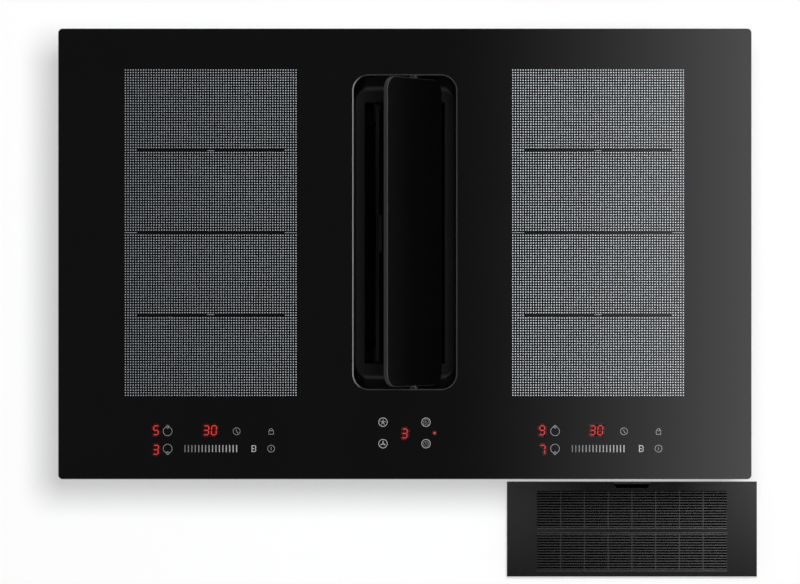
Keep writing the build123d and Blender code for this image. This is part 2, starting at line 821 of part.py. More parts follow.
def scroll_plan(level, grow):
    """Outline of the scroll at one height: three widening arcs and a straight exit to the back."""
    with BuildSketch(Plane.XY.offset(level)) as plan:
        with BuildLine():
            first = CenterArc((blower_x, blower_y), scroll_radius, tongue_angle, 180 - tongue_angle)
            second = CenterArc((blower_x + scroll_step, blower_y), scroll_radius + scroll_step, 180, 90)
            third = CenterArc(
                (blower_x + scroll_step, blower_y + scroll_step), scroll_radius + 2 * scroll_step, 270, 90
            )
            outer = Line(third @ 1, (scroll_out_x, exit_y))
            mouth = Line(outer @ 1, (tongue_x, exit_y))
            Line(mouth @ 1, first @ 0)
        make_face()
        if grow > 0:
            offset(amount=grow, kind=Kind.INTERSECTION)
            with Locations((blower_x, exit_y + scroll_radius)):
                Rectangle(4 * scroll_radius, 2 * scroll_radius, mode=Mode.SUBTRACT)
    return plan.sketch


with BuildPart() as blower_scroll:
    add(scroll_plan(scroll_foot, scroll_wall))
    extrude(amount=scroll_height)
    add(scroll_plan(scroll_foot + scroll_wall, 0))
    extrude(amount=scroll_height - scroll_wall, mode=Mode.SUBTRACT)
blower_scroll.part.label = "blower_scroll"
export_step(blower_scroll.part, "parts/blower_scroll.step")

with BuildPart() as scroll_cover:
    add(scroll_plan(cover_foot, scroll_wall))
    extrude(amount=scroll_wall)
    with BuildSketch(Plane.XY.offset(cover_foot)):
        with Locations((blower_x, blower_y)):
            Circle(inlet_radius + bell_radius)
    extrude(amount=scroll_wall, mode=Mode.SUBTRACT)
scroll_cover.part.label = "scroll_cover"
export_step(scroll_cover.part, "parts/scroll_cover.step")

blower_plane = Plane(origin=(blower_x, blower_y, 0), x_dir=(1, 0, 0), z_dir=(0, -1, 0))
cover_top = cover_foot + scroll_wall
bell_top = cover_top + bell_radius
bell_edge = inlet_radius + bell_radius
bell_outside = bell_edge + bell_wall
bell_seat = bell_edge - sheet_fit
with BuildPart() as inlet_ring:
    with BuildSketch(blower_plane):
        with BuildLine():
            throat = Line((inlet_radius, cover_foot - bell_wall), (inlet_radius, cover_top))
            RadiusArc(throat @ 1, (bell_edge, bell_top), -bell_radius)
            Line((bell_edge, bell_top), (bell_outside, bell_top))
            Line((bell_outside, bell_top), (bell_outside, cover_top))
            Line((bell_outside, cover_top), (bell_seat, cover_top))
            Line((bell_seat, cover_top), (bell_seat, cover_foot))
            Line((bell_seat, cover_foot), (inlet_radius + bell_wall, cover_foot - bell_wall))
            Line((inlet_radius + bell_wall, cover_foot - bell_wall), throat @ 0)
        make_face()
    revolve(axis=Axis((blower_x, blower_y, 0), (0, 0, 1)))
inlet_ring.part.label = "inlet_ring"
export_step(inlet_ring.part, "parts/inlet_ring.step")

wheel_foot = scroll_foot + scroll_wall + wheel_floor_gap
wheel_top = wheel_foot + wheel_height
cup_radius = motor_radius + motor_gap
cup_top = scroll_foot + scroll_wall + motor_height + motor_gap
blade_middle = wheel_radius - wheel_plate - blade_length / 2
with BuildPart() as impeller:
    with BuildSketch(Plane.XY.offset(wheel_foot)):
        with Locations((blower_x, blower_y)):
            Circle(wheel_radius)
            Circle(cup_radius, mode=Mode.SUBTRACT)
    extrude(amount=wheel_plate)
    with BuildSketch(Plane.XY.offset(wheel_foot)):
        with Locations((blower_x, blower_y)):
            Circle(cup_radius + wheel_plate)
            Circle(cup_radius, mode=Mode.SUBTRACT)
    extrude(amount=cup_top - wheel_foot)
    with BuildSketch(Plane.XY.offset(cup_top)):
        with Locations((blower_x, blower_y)):
            Circle(cup_radius + wheel_plate)
            Circle(shaft_radius + shaft_fit, mode=Mode.SUBTRACT)
    extrude(amount=wheel_plate)
    with BuildSketch(Plane.XY.offset(cup_top)):
        with Locations((blower_x, blower_y)):
            Circle(hub_radius)
            Circle(shaft_radius + shaft_fit, mode=Mode.SUBTRACT)
    extrude(amount=hub_height)
    with BuildSketch(Plane.XY.offset(wheel_foot)):
        with Locations((blower_x, blower_y)):
            with PolarLocations(blade_middle, blade_count):
                Rectangle(blade_length, blade_thickness, rotation=blade_tilt)
    extrude(amount=wheel_height)
    with BuildSketch(Plane.XY.offset(wheel_top - 2 * wheel_plate)):
        with Locations((blower_x, blower_y)):
            Circle(wheel_radius)
            Circle(wheel_radius - blade_length / 2, mode=Mode.SUBTRACT)
    extrude(amount=2 * wheel_plate)
impeller.part.label = "impeller"
export_step(impeller.part, "parts/impeller.step")

motor_foot = scroll_foot + scroll_wall
with BuildPart() as blower_motor:
    with BuildSketch(Plane.XY.offset(motor_foot)):
        with Locations((blower_x, blower_y)):
            Circle(motor_radius)
    extrude(amount=motor_height)
    motor_rim = blower_motor.faces().sort_by(Axis.Z)[-1].edges()
    fillet(motor_rim, motor_gap)
    with BuildSketch(Plane.XY.offset(motor_foot + motor_height)):
        with Locations((blower_x, blower_y)):
            Circle(shaft_radius)
    extrude(amount=motor_gap + wheel_plate + hub_height)
blower_motor.part.label = "blower_motor"
export_step(blower_motor.part, "parts/blower_motor.step")

with BuildPart() as motor_grommets:
    with BuildSketch(Plane.XY.offset(sheet)):
        with Locations((blower_x + scroll_step, blower_y)):
            with PolarLocations(grommet_spacing / 2, grommet_count, start_angle=180 / grommet_count):
                Circle(grommet_radius)
    extrude(amount=scroll_lift)
motor_grommets.part.label = "motor_grommets"
export_step(motor_grommets.part, "parts/motor_grommets.step")

# === outlet duct and non-return dampers =================================================
duct_left = blower_x - duct_room_left
duct_right = scroll_out_x + duct_room_right
duct_x = (duct_left + duct_right) / 2
duct_width = duct_right - duct_left
duct_top = cover_foot + scroll_wall
duct_back = box_back - sheet
duct_mid_z = (scroll_foot + duct_top) / 2
duct_height = duct_top - scroll_foot
exit_width = scroll_out_x - tongue_x
with BuildPart() as outlet_duct:
    with Locations((duct_x, (exit_y + duct_back) / 2, duct_mid_z)):
        Box(duct_width, duct_back - exit_y, duct_height)
        Box(
            duct_width - 2 * scroll_wall, duct_back - exit_y - 2 * scroll_wall, duct_height - 2 * scroll_wall,
            mode=Mode.SUBTRACT,
        )
    with Locations(((tongue_x + scroll_out_x) / 2, exit_y + scroll_wall / 2, duct_mid_z)):
        Box(exit_width, scroll_wall, duct_height - 2 * scroll_wall, mode=Mode.SUBTRACT)
    with BuildSketch(Plane.XZ.offset(scroll_wall - duct_back)):
        with Locations((duct_x, duct_mid_z)):
            RectangleRounded(spigot_width, spigot_height + 2 * scroll_wall, 2 * scroll_wall)
    extrude(amount=-(spigot_length + scroll_wall))
    with BuildSketch(Plane.XZ.offset(scroll_wall - duct_back)):
        with Locations((duct_x, duct_mid_z)):
            RectangleRounded(spigot_width - 2 * scroll_wall, spigot_height, scroll_wall)
    extrude(amount=-(spigot_length + scroll_wall), mode=Mode.SUBTRACT)
outlet_duct.part.label = "outlet_duct"
export_step(outlet_duct.part, "parts/outlet_duct.step")

frame_y = exit_y + scroll_wall + damper_setback
frame_width = duct_width - 2 * scroll_wall
frame_height = duct_height - 2 * scroll_wall
damper_hinge_z = duct_mid_z + frame_height / 2 - damper_frame_band - damper_pin
damper_hinge_y = frame_y + damper_frame_depth + damper_pin
port_width = (frame_width - damper_post) / 2 - damper_frame_band
with BuildPart() as damper_frame:
    with BuildSketch(Plane.XZ.offset(-frame_y)):
        with Locations((duct_x, duct_mid_z)):
            Rectangle(frame_width, frame_height)
            with GridLocations(port_width + damper_post, 0, 2, 1):
                Rectangle(port_width, frame_height - 2 * damper_frame_band, mode=Mode.SUBTRACT)
    extrude(amount=-damper_frame_depth)
    ear_side = frame_width / 2 - damper_frame_band / 2
    for ear_x, ear_width in ((-ear_side, damper_frame_band), (0, damper_post), (ear_side, damper_frame_band)):
        with Locations((duct_x + ear_x, frame_y + damper_frame_depth + 2 * damper_pin, damper_hinge_z)):
            Box(ear_width, 4 * damper_pin, 4 * damper_pin)
    with BuildSketch(Plane.YZ.offset(duct_x)):
        with Locations((damper_hinge_y, damper_hinge_z)):
            Circle(damper_pin + bush_fit)
    extrude(amount=frame_width, both=True, mode=Mode.SUBTRACT)
damper_frame.part.label = "damper_frame"
export_step(damper_frame.part, "parts/damper_frame.step")

damper_span = port_width - damper_side_gap
damper_foot = duct_mid_z - frame_height / 2 + damper_foot_gap
for side, where in ((-1, "left"), (1, "right")):
    damper_x = duct_x + side * (port_width + damper_post) / 2
    with BuildPart() as damper_flap:
        with BuildSketch(Plane.YZ.offset(damper_x)):
            with Locations((damper_hinge_y, damper_hinge_z)):
                Circle(damper_pin)
        extrude(amount=port_width / 2 + damper_pin_reach, both=True)
        flap_drop = damper_hinge_z - damper_foot
        with Locations((damper_x, damper_hinge_y, damper_hinge_z - flap_drop / 2)):
            Box(damper_span, damper_thickness, flap_drop)
    damper_flap.part.label = f"damper_flap_{where}"
    export_step(damper_flap.part, f"parts/damper_flap_{where}.step")

# === lower box, lid and casing screws ===================================================
spigot_fit = 2 * sheet_fit
with BuildPart() as lower_box:
    with BuildSketch():
        with Locations(box_mid):
            RectangleRounded(box_length, box_depth, box_corner)
    extrude(amount=box_height)
    with BuildSketch(Plane.XY.offset(box_height - sheet)):
        with Locations(box_mid):
            RectangleRounded(box_length + 2 * box_flange, box_depth + 2 * box_flange, box_corner + box_flange)
    extrude(amount=sheet)
    with BuildSketch(Plane.XY.offset(sheet)):
        with Locations(box_mid):
            RectangleRounded(box_length - 2 * sheet, box_depth - 2 * sheet, box_corner - sheet)
    extrude(amount=box_height - sheet, mode=Mode.SUBTRACT)
    with BuildSketch(Plane.XZ.offset(-box_front)):
        with Locations((0, (drawer_foot + drawer_top) / 2)):
            Rectangle(2 * (drawer_half_x + slot_gap), drawer_top - drawer_foot + slot_gap)
    extrude(amount=-sheet, mode=Mode.SUBTRACT)
    with BuildSketch(Plane.XZ.offset(-box_back)):
        with Locations((duct_x, duct_mid_z)):
            RectangleRounded(
                spigot_width + spigot_fit, spigot_height + 2 * scroll_wall + spigot_fit, 2 * scroll_wall
            )
    extrude(amount=sheet, mode=Mode.SUBTRACT)
    with BuildSketch(Plane.XY.offset(box_height - sheet)):
        with Locations(box_mid):
            with GridLocations(screw_dx, screw_dy, screw_columns, screw_rows):
                Circle(screw_radius + screw_fit)
    extrude(amount=sheet, mode=Mode.SUBTRACT)
lower_box.part.label = "lower_box"
export_step(lower_box.part, "parts/lower_box.step")

with BuildPart() as lower_lid:
    with BuildSketch(Plane.XY.offset(box_height)):
        with Locations(box_mid):
            RectangleRounded(box_length + 2 * box_flange, box_depth + 2 * box_flange, box_corner + box_flange)
            with GridLocations(screw_dx, screw_dy, screw_columns, screw_rows):
                Circle(screw_radius + screw_fit, mode=Mode.SUBTRACT)
        with Locations((0, area_y)):
            RectangleRounded(
                sleeve_width + 2 * sheet_fit, sleeve_length + 2 * sheet_fit, vent_corner + sleeve_wall,
                mode=Mode.SUBTRACT,
            )
    extrude(amount=sheet)
lower_lid.part.label = "lower_lid"
export_step(lower_lid.part, "parts/lower_lid.step")

screw_seat = box_height - sheet
with BuildPart() as casing_screws:
    with BuildSketch(Plane.XY.offset(screw_seat - screw_head_height)):
        with Locations(box_mid):
            with GridLocations(screw_dx, screw_dy, screw_columns, screw_rows):
                Circle(screw_head)
    extrude(amount=screw_head_height)
    with BuildSketch(Plane.XY.offset(screw_seat)):
        with Locations(box_mid):
            with GridLocations(screw_dx, screw_dy, screw_columns, screw_rows):
                Circle(screw_radius)
    extrude(amount=3 * sheet + screw_tip)
casing_screws.part.label = "casing_screws"
export_step(casing_screws.part, "parts/casing_screws.step")

# === induction stack under each cooking area, from the glass down =======================
coil_pitch = area_length / zones_per_area
coil_length = area_width - 2 * coil_side_gap
coil_width = coil_pitch - 2 * coil_end_gap
coil_top = glass_bottom - mica_thickness
former_top = coil_top - coil_height
ferrite_top = former_top - former_thickness
carrier_top = ferrite_top - ferrite_height
carrier_foot = carrier_top - carrier_thickness
coil_eye_length = coil_length - 2 * coil_band
coil_eye_width = coil_width - 2 * coil_band
carrier_width = area_width + 2 * carrier_margin
post_dx = carrier_width - 2 * post_inset
post_dy = (area_length - 2 * post_end_inset) / (post_rows - 1)

with BuildPart() as mica_sheets:
    with BuildSketch(Plane.XY.offset(coil_top)):
        with Locations(*area_places):
            RectangleRounded(area_width, area_length, coil_side_gap)
    extrude(amount=mica_thickness)
mica_sheets.part.label = "mica_sheets"
export_step(mica_sheets.part, "parts/mica_sheets.step")

with BuildPart() as induction_coils:
    with BuildSketch(Plane.XY.offset(former_top)):
        with Locations(*area_places):
            with GridLocations(0, coil_pitch, 1, zones_per_area):
                SlotOverall(coil_length, coil_width)
                SlotOverall(coil_eye_length, coil_eye_width, mode=Mode.SUBTRACT)
    extrude(amount=coil_height)
induction_coils.part.label = "induction_coils"
export_step(induction_coils.part, "parts/induction_coils.step")

with BuildPart() as coil_formers:
    with BuildSketch(Plane.XY.offset(ferrite_top)):
        with Locations(*area_places):
            with GridLocations(0, coil_pitch, 1, zones_per_area):
                SlotOverall(coil_length + 2 * former_rim, coil_width + 2 * former_rim)
    extrude(amount=former_thickness)
    with BuildSketch(Plane.XY.offset(former_top)):
        with Locations(*area_places):
            with GridLocations(0, coil_pitch, 1, zones_per_area):
                SlotOverall(coil_eye_length - former_rim, coil_eye_width - former_rim)
    extrude(amount=coil_height - former_rim / 2)
    with BuildSketch(Plane.XY.offset(ferrite_top)):
        with Locations(*area_places):
            with GridLocations(0, coil_pitch, 1, zones_per_area):
                Circle(sensor_radius + screw_fit)
    extrude(amount=former_thickness + coil_height, mode=Mode.SUBTRACT)
coil_formers.part.label = "coil_formers"
export_step(coil_formers.part, "parts/coil_formers.step")

with BuildPart() as temperature_sensors:
    with BuildSketch(Plane.XY.offset(ferrite_top)):
        with Locations(*area_places):
            with GridLocations(0, coil_pitch, 1, zones_per_area):
                Circle(sensor_radius)
    extrude(amount=former_thickness + coil_height)
temperature_sensors.part.label = "temperature_sensors"
export_step(temperature_sensors.part, "parts/temperature_sensors.step")

with BuildPart() as ferrite_bars:
    with BuildSketch(Plane.XY.offset(carrier_top)):
        with Locations(*area_places):
            with GridLocations(ferrite_pitch, coil_pitch, ferrites_per_coil, zones_per_area):
                Rectangle(ferrite_width, ferrite_length)
    extrude(amount=ferrite_height)
ferrite_bars.part.label = "ferrite_bars"
export_step(ferrite_bars.part, "parts/ferrite_bars.step")

with BuildPart() as coil_carriers:
    with BuildSketch(Plane.XY.offset(carrier_foot)):
        with Locations(*area_places):
            RectangleRounded(carrier_width, area_length, coil_side_gap)
        with Locations(*area_places):
            with GridLocations(post_dx, post_dy, post_columns, post_rows):
                Circle(post_radius + sheet_fit, mode=Mode.SUBTRACT)
    extrude(amount=carrier_thickness)
coil_carriers.part.label = "coil_carriers"
export_step(coil_carriers.part, "parts/coil_carriers.step")

with BuildPart() as carrier_posts:
    for radius, level, rise in (
        (post_foot, tray_floor, post_foot_height),
        (post_radius, tray_floor, carrier_top - tray_floor + post_head),
    ):
        with BuildSketch(Plane.XY.offset(level)):
            with Locations(*area_places):
                with GridLocations(post_dx, post_dy, post_columns, post_rows):
                    Circle(radius)
        extrude(amount=rise)
carrier_posts.part.label = "carrier_posts"
export_step(carrier_posts.part, "parts/carrier_posts.step")

with BuildPart() as carrier_springs:
    with BuildSketch(Plane.XY.offset(tray_floor + post_foot_height)):
        with Locations(*area_places):
            with GridLocations(post_dx, post_dy, post_columns, post_rows):
                Circle(spring_radius)
                Circle(spring_radius - spring_wall, mode=Mode.SUBTRACT)
    extrude(amount=carrier_foot - tray_floor - post_foot_height)
carrier_springs.part.label = "carrier_springs"
export_step(carrier_springs.part, "parts/carrier_springs.step")

# === inverter boards, heat sinks and capacitors =========================================
board_foot = tray_floor + board_lift
board_top = board_foot + board_thickness
board_width = area_width - 2 * board_inset
area_front = area_y - area_length / 2
board_length = area_length - fan_back_gap - fan_size / 2 - board_fan_gap - board_front_gap
board_y = area_front + board_front_gap + board_length / 2
board_places = [(-area_x, board_y), (area_x, board_y)]
with BuildPart() as inverter_boards:
    with BuildSketch(Plane.XY.offset(board_foot)):
        with Locations(*board_places):
            Rectangle(board_width, board_length)
    extrude(amount=board_thickness)
    with BuildSketch(Plane.XY.offset(tray_floor)):
        with Locations(*board_places):
            with GridLocations(board_width - 2 * standoff_inset, board_length - 2 * standoff_inset, 2, 2):
                Circle(standoff_radius)
    extrude(amount=board_lift)
inverter_boards.part.label = "inverter_boards"
export_step(inverter_boards.part, "parts/inverter_boards.step")

sink_y = board_y + (board_length - heat_sink_length) / 2 - standoff_inset
with BuildPart() as heat_sinks:
    with BuildSketch(Plane.XY.offset(board_top)):
        with Locations((-area_x, sink_y), (area_x, sink_y)):
            Rectangle(heat_sink_width, heat_sink_length)
    extrude(amount=sink_base)
    fin_pitch = (heat_sink_width - fin_thickness) / (fin_count - 1)
    with BuildSketch(Plane.XY.offset(board_top + sink_base)):
        with Locations((-area_x, sink_y), (area_x, sink_y)):
            with GridLocations(fin_pitch, 0, fin_count, 1):
                Rectangle(fin_thickness, heat_sink_length)
    extrude(amount=heat_sink_height - sink_base)
heat_sinks.part.label = "heat_sinks"
export_step(heat_sinks.part, "parts/heat_sinks.step")

capacitor_y = board_y - board_length / 2 + 2 * capacitor_radius + standoff_inset
with BuildPart() as power_capacitors:
    with BuildSketch(Plane.XY.offset(board_top)):
        with Locations((-area_x, capacitor_y), (area_x, capacitor_y)):
            with GridLocations(capacitor_pitch, 0, capacitors_per_board, 1):
                Circle(capacitor_radius)
    extrude(amount=capacitor_height)
power_capacitors.part.label = "power_capacitors"
export_step(power_capacitors.part, "parts/power_capacitors.step")

# === cooling fans, one under the back of each coil carrier ==============================
with BuildPart() as cooling_fan_housings:
    with BuildSketch(Plane.XY.offset(tray_floor)):
        with Locations(*fan_places):
            RectangleRounded(fan_size, fan_size, fan_corner)
            Circle(fan_bore, mode=Mode.SUBTRACT)
    extrude(amount=fan_height)
    with BuildSketch(Plane.XY.offset(tray_floor)):
        with Locations(*fan_places):
            Circle(fan_hub)
            with PolarLocations((fan_bore + fan_hub) / 2, fan_spokes):
                Rectangle(fan_bore - fan_hub + 2 * fan_floor, fan_floor)
    extrude(amount=fan_floor)
    with BuildSketch(Plane.XY.offset(tray_floor + fan_floor)):
        with Locations(*fan_places):
            Circle(fan_shaft_radius)
    extrude(amount=fan_height - 2 * fan_floor)
cooling_fan_housings.part.label = "cooling_fan_housings"
export_step(cooling_fan_housings.part, "parts/cooling_fan_housings.step")

rotor_foot = tray_floor + fan_floor + rotor_gap
rotor_height = fan_height - 2 * fan_floor
rotor_reach = fan_bore - rotor_gap
for (fan_x, rotor_y), where in zip(fan_places, ("left", "right")):
    with BuildPart() as cooling_rotor:
        with BuildSketch(Plane.XY.offset(rotor_foot)):
            with Locations((fan_x, rotor_y)):
                Circle(fan_hub)
                Circle(fan_shaft_radius + shaft_fit, mode=Mode.SUBTRACT)
        extrude(amount=rotor_height)
        for blade in range(rotor_blades):
            turn = radians(360 * blade / rotor_blades)
            blade_plane = Plane(
                origin=(fan_x, rotor_y, rotor_foot + rotor_height / 2),
                x_dir=(-sin(turn), cos(turn), 0),
                z_dir=(cos(turn), sin(turn), 0),
            )
            with BuildSketch(blade_plane.offset(fan_hub - fan_floor)):
                Rectangle(rotor_height, rotor_blade_sheet, rotation=rotor_pitch_angle)
            extrude(amount=rotor_reach - fan_hub)
    cooling_rotor.part.label = f"cooling_rotor_{where}"
    export_step(cooling_rotor.part, f"parts/cooling_rotor_{where}.step")

# === mains filter, terminal block, cover and gland ======================================
filter_x = -(area_x - carrier_width / 2 + sleeve_width / 2) / 2
with BuildPart() as mains_filter_board:
    with BuildSketch(Plane.XY.offset(board_foot)):
        with Locations((filter_x, area_y)):
            Rectangle(filter_width, filter_length)
    extrude(amount=board_thickness)
    with BuildSketch(Plane.XY.offset(tray_floor)):
        with Locations((filter_x, area_y)):
            with GridLocations(filter_width - standoff_inset, filter_length - standoff_inset, 2, 2):
                Circle(standoff_radius)
    extrude(amount=board_lift)
    with BuildSketch(Plane.XY.offset(board_top)):
        with Locations((filter_x, area_y)):
            with GridLocations(0, choke_pitch, 1, choke_count):
                Circle(choke_radius)
                Circle(choke_eye, mode=Mode.SUBTRACT)
    extrude(amount=choke_height)
mains_filter_board.part.label = "mains_filter_board"
export_step(mains_filter_board.part, "parts/mains_filter_board.step")

terminal_x = terminal_side_inset - glass_length / 2
terminal_y = glass_width / 2 - terminal_back_inset
terminal_foot = lid_top - terminal_drop
with BuildPart() as terminal_cover:
    with BuildSketch(Plane.XY.offset(terminal_foot)):
        with Locations((terminal_x, terminal_y)):
            RectangleRounded(terminal_width, terminal_depth, 2 * terminal_wall)
    extrude(amount=terminal_drop)
    with BuildSketch(Plane.XY.offset(terminal_foot + terminal_wall)):
        with Locations((terminal_x, terminal_y)):
            RectangleRounded(
                terminal_width - 2 * terminal_wall, terminal_depth - 2 * terminal_wall, terminal_wall
            )
    extrude(amount=terminal_drop - terminal_wall, mode=Mode.SUBTRACT)
    with BuildSketch(Plane.XZ.offset(-(terminal_y + terminal_depth / 2))):
        with Locations((terminal_x, terminal_foot + terminal_drop / 2)):
            Circle(gland_radius - 2 * terminal_wall)
    extrude(amount=terminal_wall, mode=Mode.SUBTRACT)
terminal_cover.part.label = "terminal_cover"
export_step(terminal_cover.part, "parts/terminal_cover.step")

gland_plane = Plane.XZ.offset(-(terminal_y + terminal_depth / 2))
with BuildPart() as cable_gland:
    with BuildSketch(gland_plane):
        with Locations((terminal_x, terminal_foot + terminal_drop / 2)):
            RegularPolygon(gland_radius, gland_sides)
    extrude(amount=-gland_nut)
    with BuildSketch(gland_plane.offset(-gland_nut)):
        with Locations((terminal_x, terminal_foot + terminal_drop / 2)):
            Circle(gland_radius - terminal_wall)
    extrude(amount=-(gland_length - gland_nut))
    gland_mouth = cable_gland.faces().sort_by(Axis.Y)[-1].edges()
    fillet(gland_mouth, terminal_wall)
    with BuildSketch(gland_plane.offset(2 * terminal_wall)):
        with Locations((terminal_x, terminal_foot + terminal_drop / 2)):
            Circle(gland_radius - 2 * terminal_wall)
    extrude(amount=-2 * terminal_wall)
    with BuildSketch(gland_plane.offset(2 * terminal_wall)):
        with Locations((terminal_x, terminal_foot + terminal_drop / 2)):
            Circle(gland_bore)
    extrude(amount=-(gland_length + 2 * terminal_wall), mode=Mode.SUBTRACT)
cable_gland.part.label = "cable_gland"
export_step(cable_gland.part, "parts/cable_gland.step")

with BuildPart() as terminal_block:
    with BuildSketch(Plane.XY.offset(lid_top - block_height)):
        with Locations((terminal_x, terminal_y)):
            Rectangle(terminal_poles * pole_pitch, block_depth)
    extrude(amount=block_height)
    with BuildSketch(Plane.XY.offset(lid_top - block_height)):
        with Locations((terminal_x, terminal_y)):
            with GridLocations(pole_pitch, block_depth / 2, terminal_poles, 2):
                Circle(pole_radius)
    extrude(amount=block_height / 2, mode=Mode.SUBTRACT)
terminal_block.part.label = "terminal_block"
export_step(terminal_block.part, "parts/terminal_block.step")

with BuildPart() as blower_board:
    blower_board_x = box_left + sheet + filter_width / 2 + standoff_inset
    with BuildSketch(Plane.XY.offset(sheet + board_lift)):
        with Locations((blower_board_x, area_y)):
            Rectangle(filter_width, filter_length / 2)
    extrude(amount=board_thickness)
    with BuildSketch(Plane.XY.offset(sheet)):
        with Locations((blower_board_x, area_y)):
            with GridLocations(filter_width - standoff_inset, filter_length / 2 - standoff_inset, 2, 2):
                Circle(standoff_radius)
    extrude(amount=board_lift)
    with BuildSketch(Plane.XY.offset(sheet + board_lift + board_thickness)):
        with Locations((blower_board_x, area_y)):
            with GridLocations(0, filter_width, 1, 2):
                Rectangle(relay_size, relay_size)
    extrude(amount=relay_height)
blower_board.part.label = "blower_board"
export_step(blower_board.part, "parts/blower_board.step")

# === touch boards, displays and contact springs at the front ============================
touch_y = touch_front_gap + touch_depth / 2 - glass_width / 2
touch_top = glass_bottom - touch_lift
touch_places = [(-area_x, touch_y), (area_x, touch_y)]
touch_leg = touch_top - board_thickness - tray_floor
with BuildPart() as touch_boards:
    with BuildSketch(Plane.XY.offset(touch_top - board_thickness)):
        with Locations(*touch_places):
            Rectangle(touch_length, touch_depth)
    extrude(amount=board_thickness)
    with BuildSketch(Plane.XY.offset(tray_floor)):
        with Locations(*touch_places):
            with GridLocations(touch_length - standoff_inset, touch_depth - standoff_inset, 2, 2):
                Circle(standoff_radius)
    extrude(amount=touch_leg)
touch_boards.part.label = "touch_boards"
export_step(touch_boards.part, "parts/touch_boards.step")

with BuildPart() as fan_touch_board:
    with BuildSketch(Plane.XY.offset(touch_top - board_thickness)):
        with Locations((0, touch_y)):
            Rectangle(fan_touch_length, touch_depth)
    extrude(amount=board_thickness)
    with BuildSketch(Plane.XY.offset(tray_floor)):
        with Locations((0, touch_y)):
            with GridLocations(fan_touch_length - standoff_inset, touch_depth - standoff_inset, 2, 2):
                Circle(standoff_radius)
    extrude(amount=touch_leg)
fan_touch_board.part.label = "fan_touch_board"
export_step(fan_touch_board.part, "parts/fan_touch_board.step")

# displays and keys keep their places from the middle of each touch board
zone_digits = [
    (x + zone_digit_dx, touch_y + dy) for x, _ in touch_places for dy in (upper_row_dy, lower_row_dy)
]
timer_digits = [(x + timer_digit_dx, touch_y + upper_row_dy) for x, _ in touch_places]
with BuildPart() as display_modules:
    with BuildSketch(Plane.XY.offset(touch_top)):
        with Locations(*zone_digits, (0, touch_y + fan_digit_dy)):
            Rectangle(display_width, display_depth)
        with Locations(*timer_digits):
            Rectangle(timer_display_width, display_depth)
    extrude(amount=display_height)
display_modules.part.label = "display_modules"
export_step(display_modules.part, "parts/display_modules.step")

upper_keys = [(dx, upper_key_dy) for dx in (timer_key_dx, clock_key_dx, lock_key_dx)]
lower_keys = [(dx, lower_key_dy) for dx in (timer_key_dx, boost_key_dx, lock_key_dx)]
slider_keys = [((pad - slider_pads / 2) * slider_pad_pitch, lower_key_dy) for pad in range(slider_pads)]
group_keys = upper_keys + lower_keys + slider_keys
zone_keys = [(x + dx, touch_y + dy) for x, _ in touch_places for dx, dy in group_keys]
fan_keys = [
    (dx, touch_y + dy) for dx in (-fan_key_dx, fan_key_dx) for dy in (fan_key_upper_dy, fan_key_lower_dy)
]
with BuildPart() as touch_springs:
    with BuildSketch(Plane.XY.offset(touch_top)):
        with Locations(*zone_keys, *fan_keys):
            Circle(spring_pad)
    extrude(amount=touch_lift)
touch_springs.part.label = "touch_springs"
export_step(touch_springs.part, "parts/touch_springs.step")

# === worktop clamps on the side walls of the tray =======================================
clamp_wall = tray_length / 2
clamp_foot = tray_floor
screw_offset = clamp_wall + clamp_arm - clamp_sheet - clamp_screw
with BuildPart() as worktop_clamps:
    for side in (-1, 1):
        for clamp_y in (-clamp_spread, clamp_spread):
            with Locations((side * (clamp_wall + clamp_sheet / 2), clamp_y, clamp_foot)):
                Box(clamp_sheet, clamp_width, clamp_leg, align=(Align.CENTER, Align.CENTER, Align.MIN))
            with BuildSketch(Plane.XY.offset(clamp_foot)):
                with Locations((side * (clamp_wall + (clamp_sheet + clamp_arm) / 2), clamp_y)):
                    Rectangle(clamp_arm + clamp_sheet, clamp_width)
                with Locations((side * screw_offset, clamp_y)):
                    Circle(clamp_screw + screw_fit, mode=Mode.SUBTRACT)
            extrude(amount=clamp_sheet)
worktop_clamps.part.label = "worktop_clamps"
export_step(worktop_clamps.part, "parts/worktop_clamps.step")

with BuildPart() as clamp_screws:
    for side in (-1, 1):
        for clamp_y in (-clamp_spread, clamp_spread):
            screw_x = side * screw_offset
            with Locations((screw_x, clamp_y, clamp_foot - clamp_sheet)):
                Cylinder(
                    clamp_screw, clamp_travel + clamp_sheet, align=(Align.CENTER, Align.CENTER, Align.MIN)
                )
            with Locations((screw_x, clamp_y, clamp_foot + clamp_travel)):
                Cylinder(clamp_pad, clamp_sheet, align=(Align.CENTER, Align.CENTER, Align.MIN))
            with Locations((screw_x, clamp_y, clamp_foot)):
                Cylinder(clamp_pad, 2 * clamp_sheet, align=(Align.CENTER, Align.CENTER, Align.MAX))
clamp_screws.part.label = "clamp_screws"
export_step(clamp_screws.part, "parts/clamp_screws.step")
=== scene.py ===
"""Looks of the downdraft induction cooktop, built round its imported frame.

Metres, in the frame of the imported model: the origin lies on the bench under the middle of the glass,
+X is right, +Y the back and +Z up. Sizes in the classes are millimetres.
"""
import json
import logging
import math
from collections.abc import Callable
from dataclasses import dataclass
from enum import Enum

import bmesh
import bpy
from mathutils import Matrix, Vector

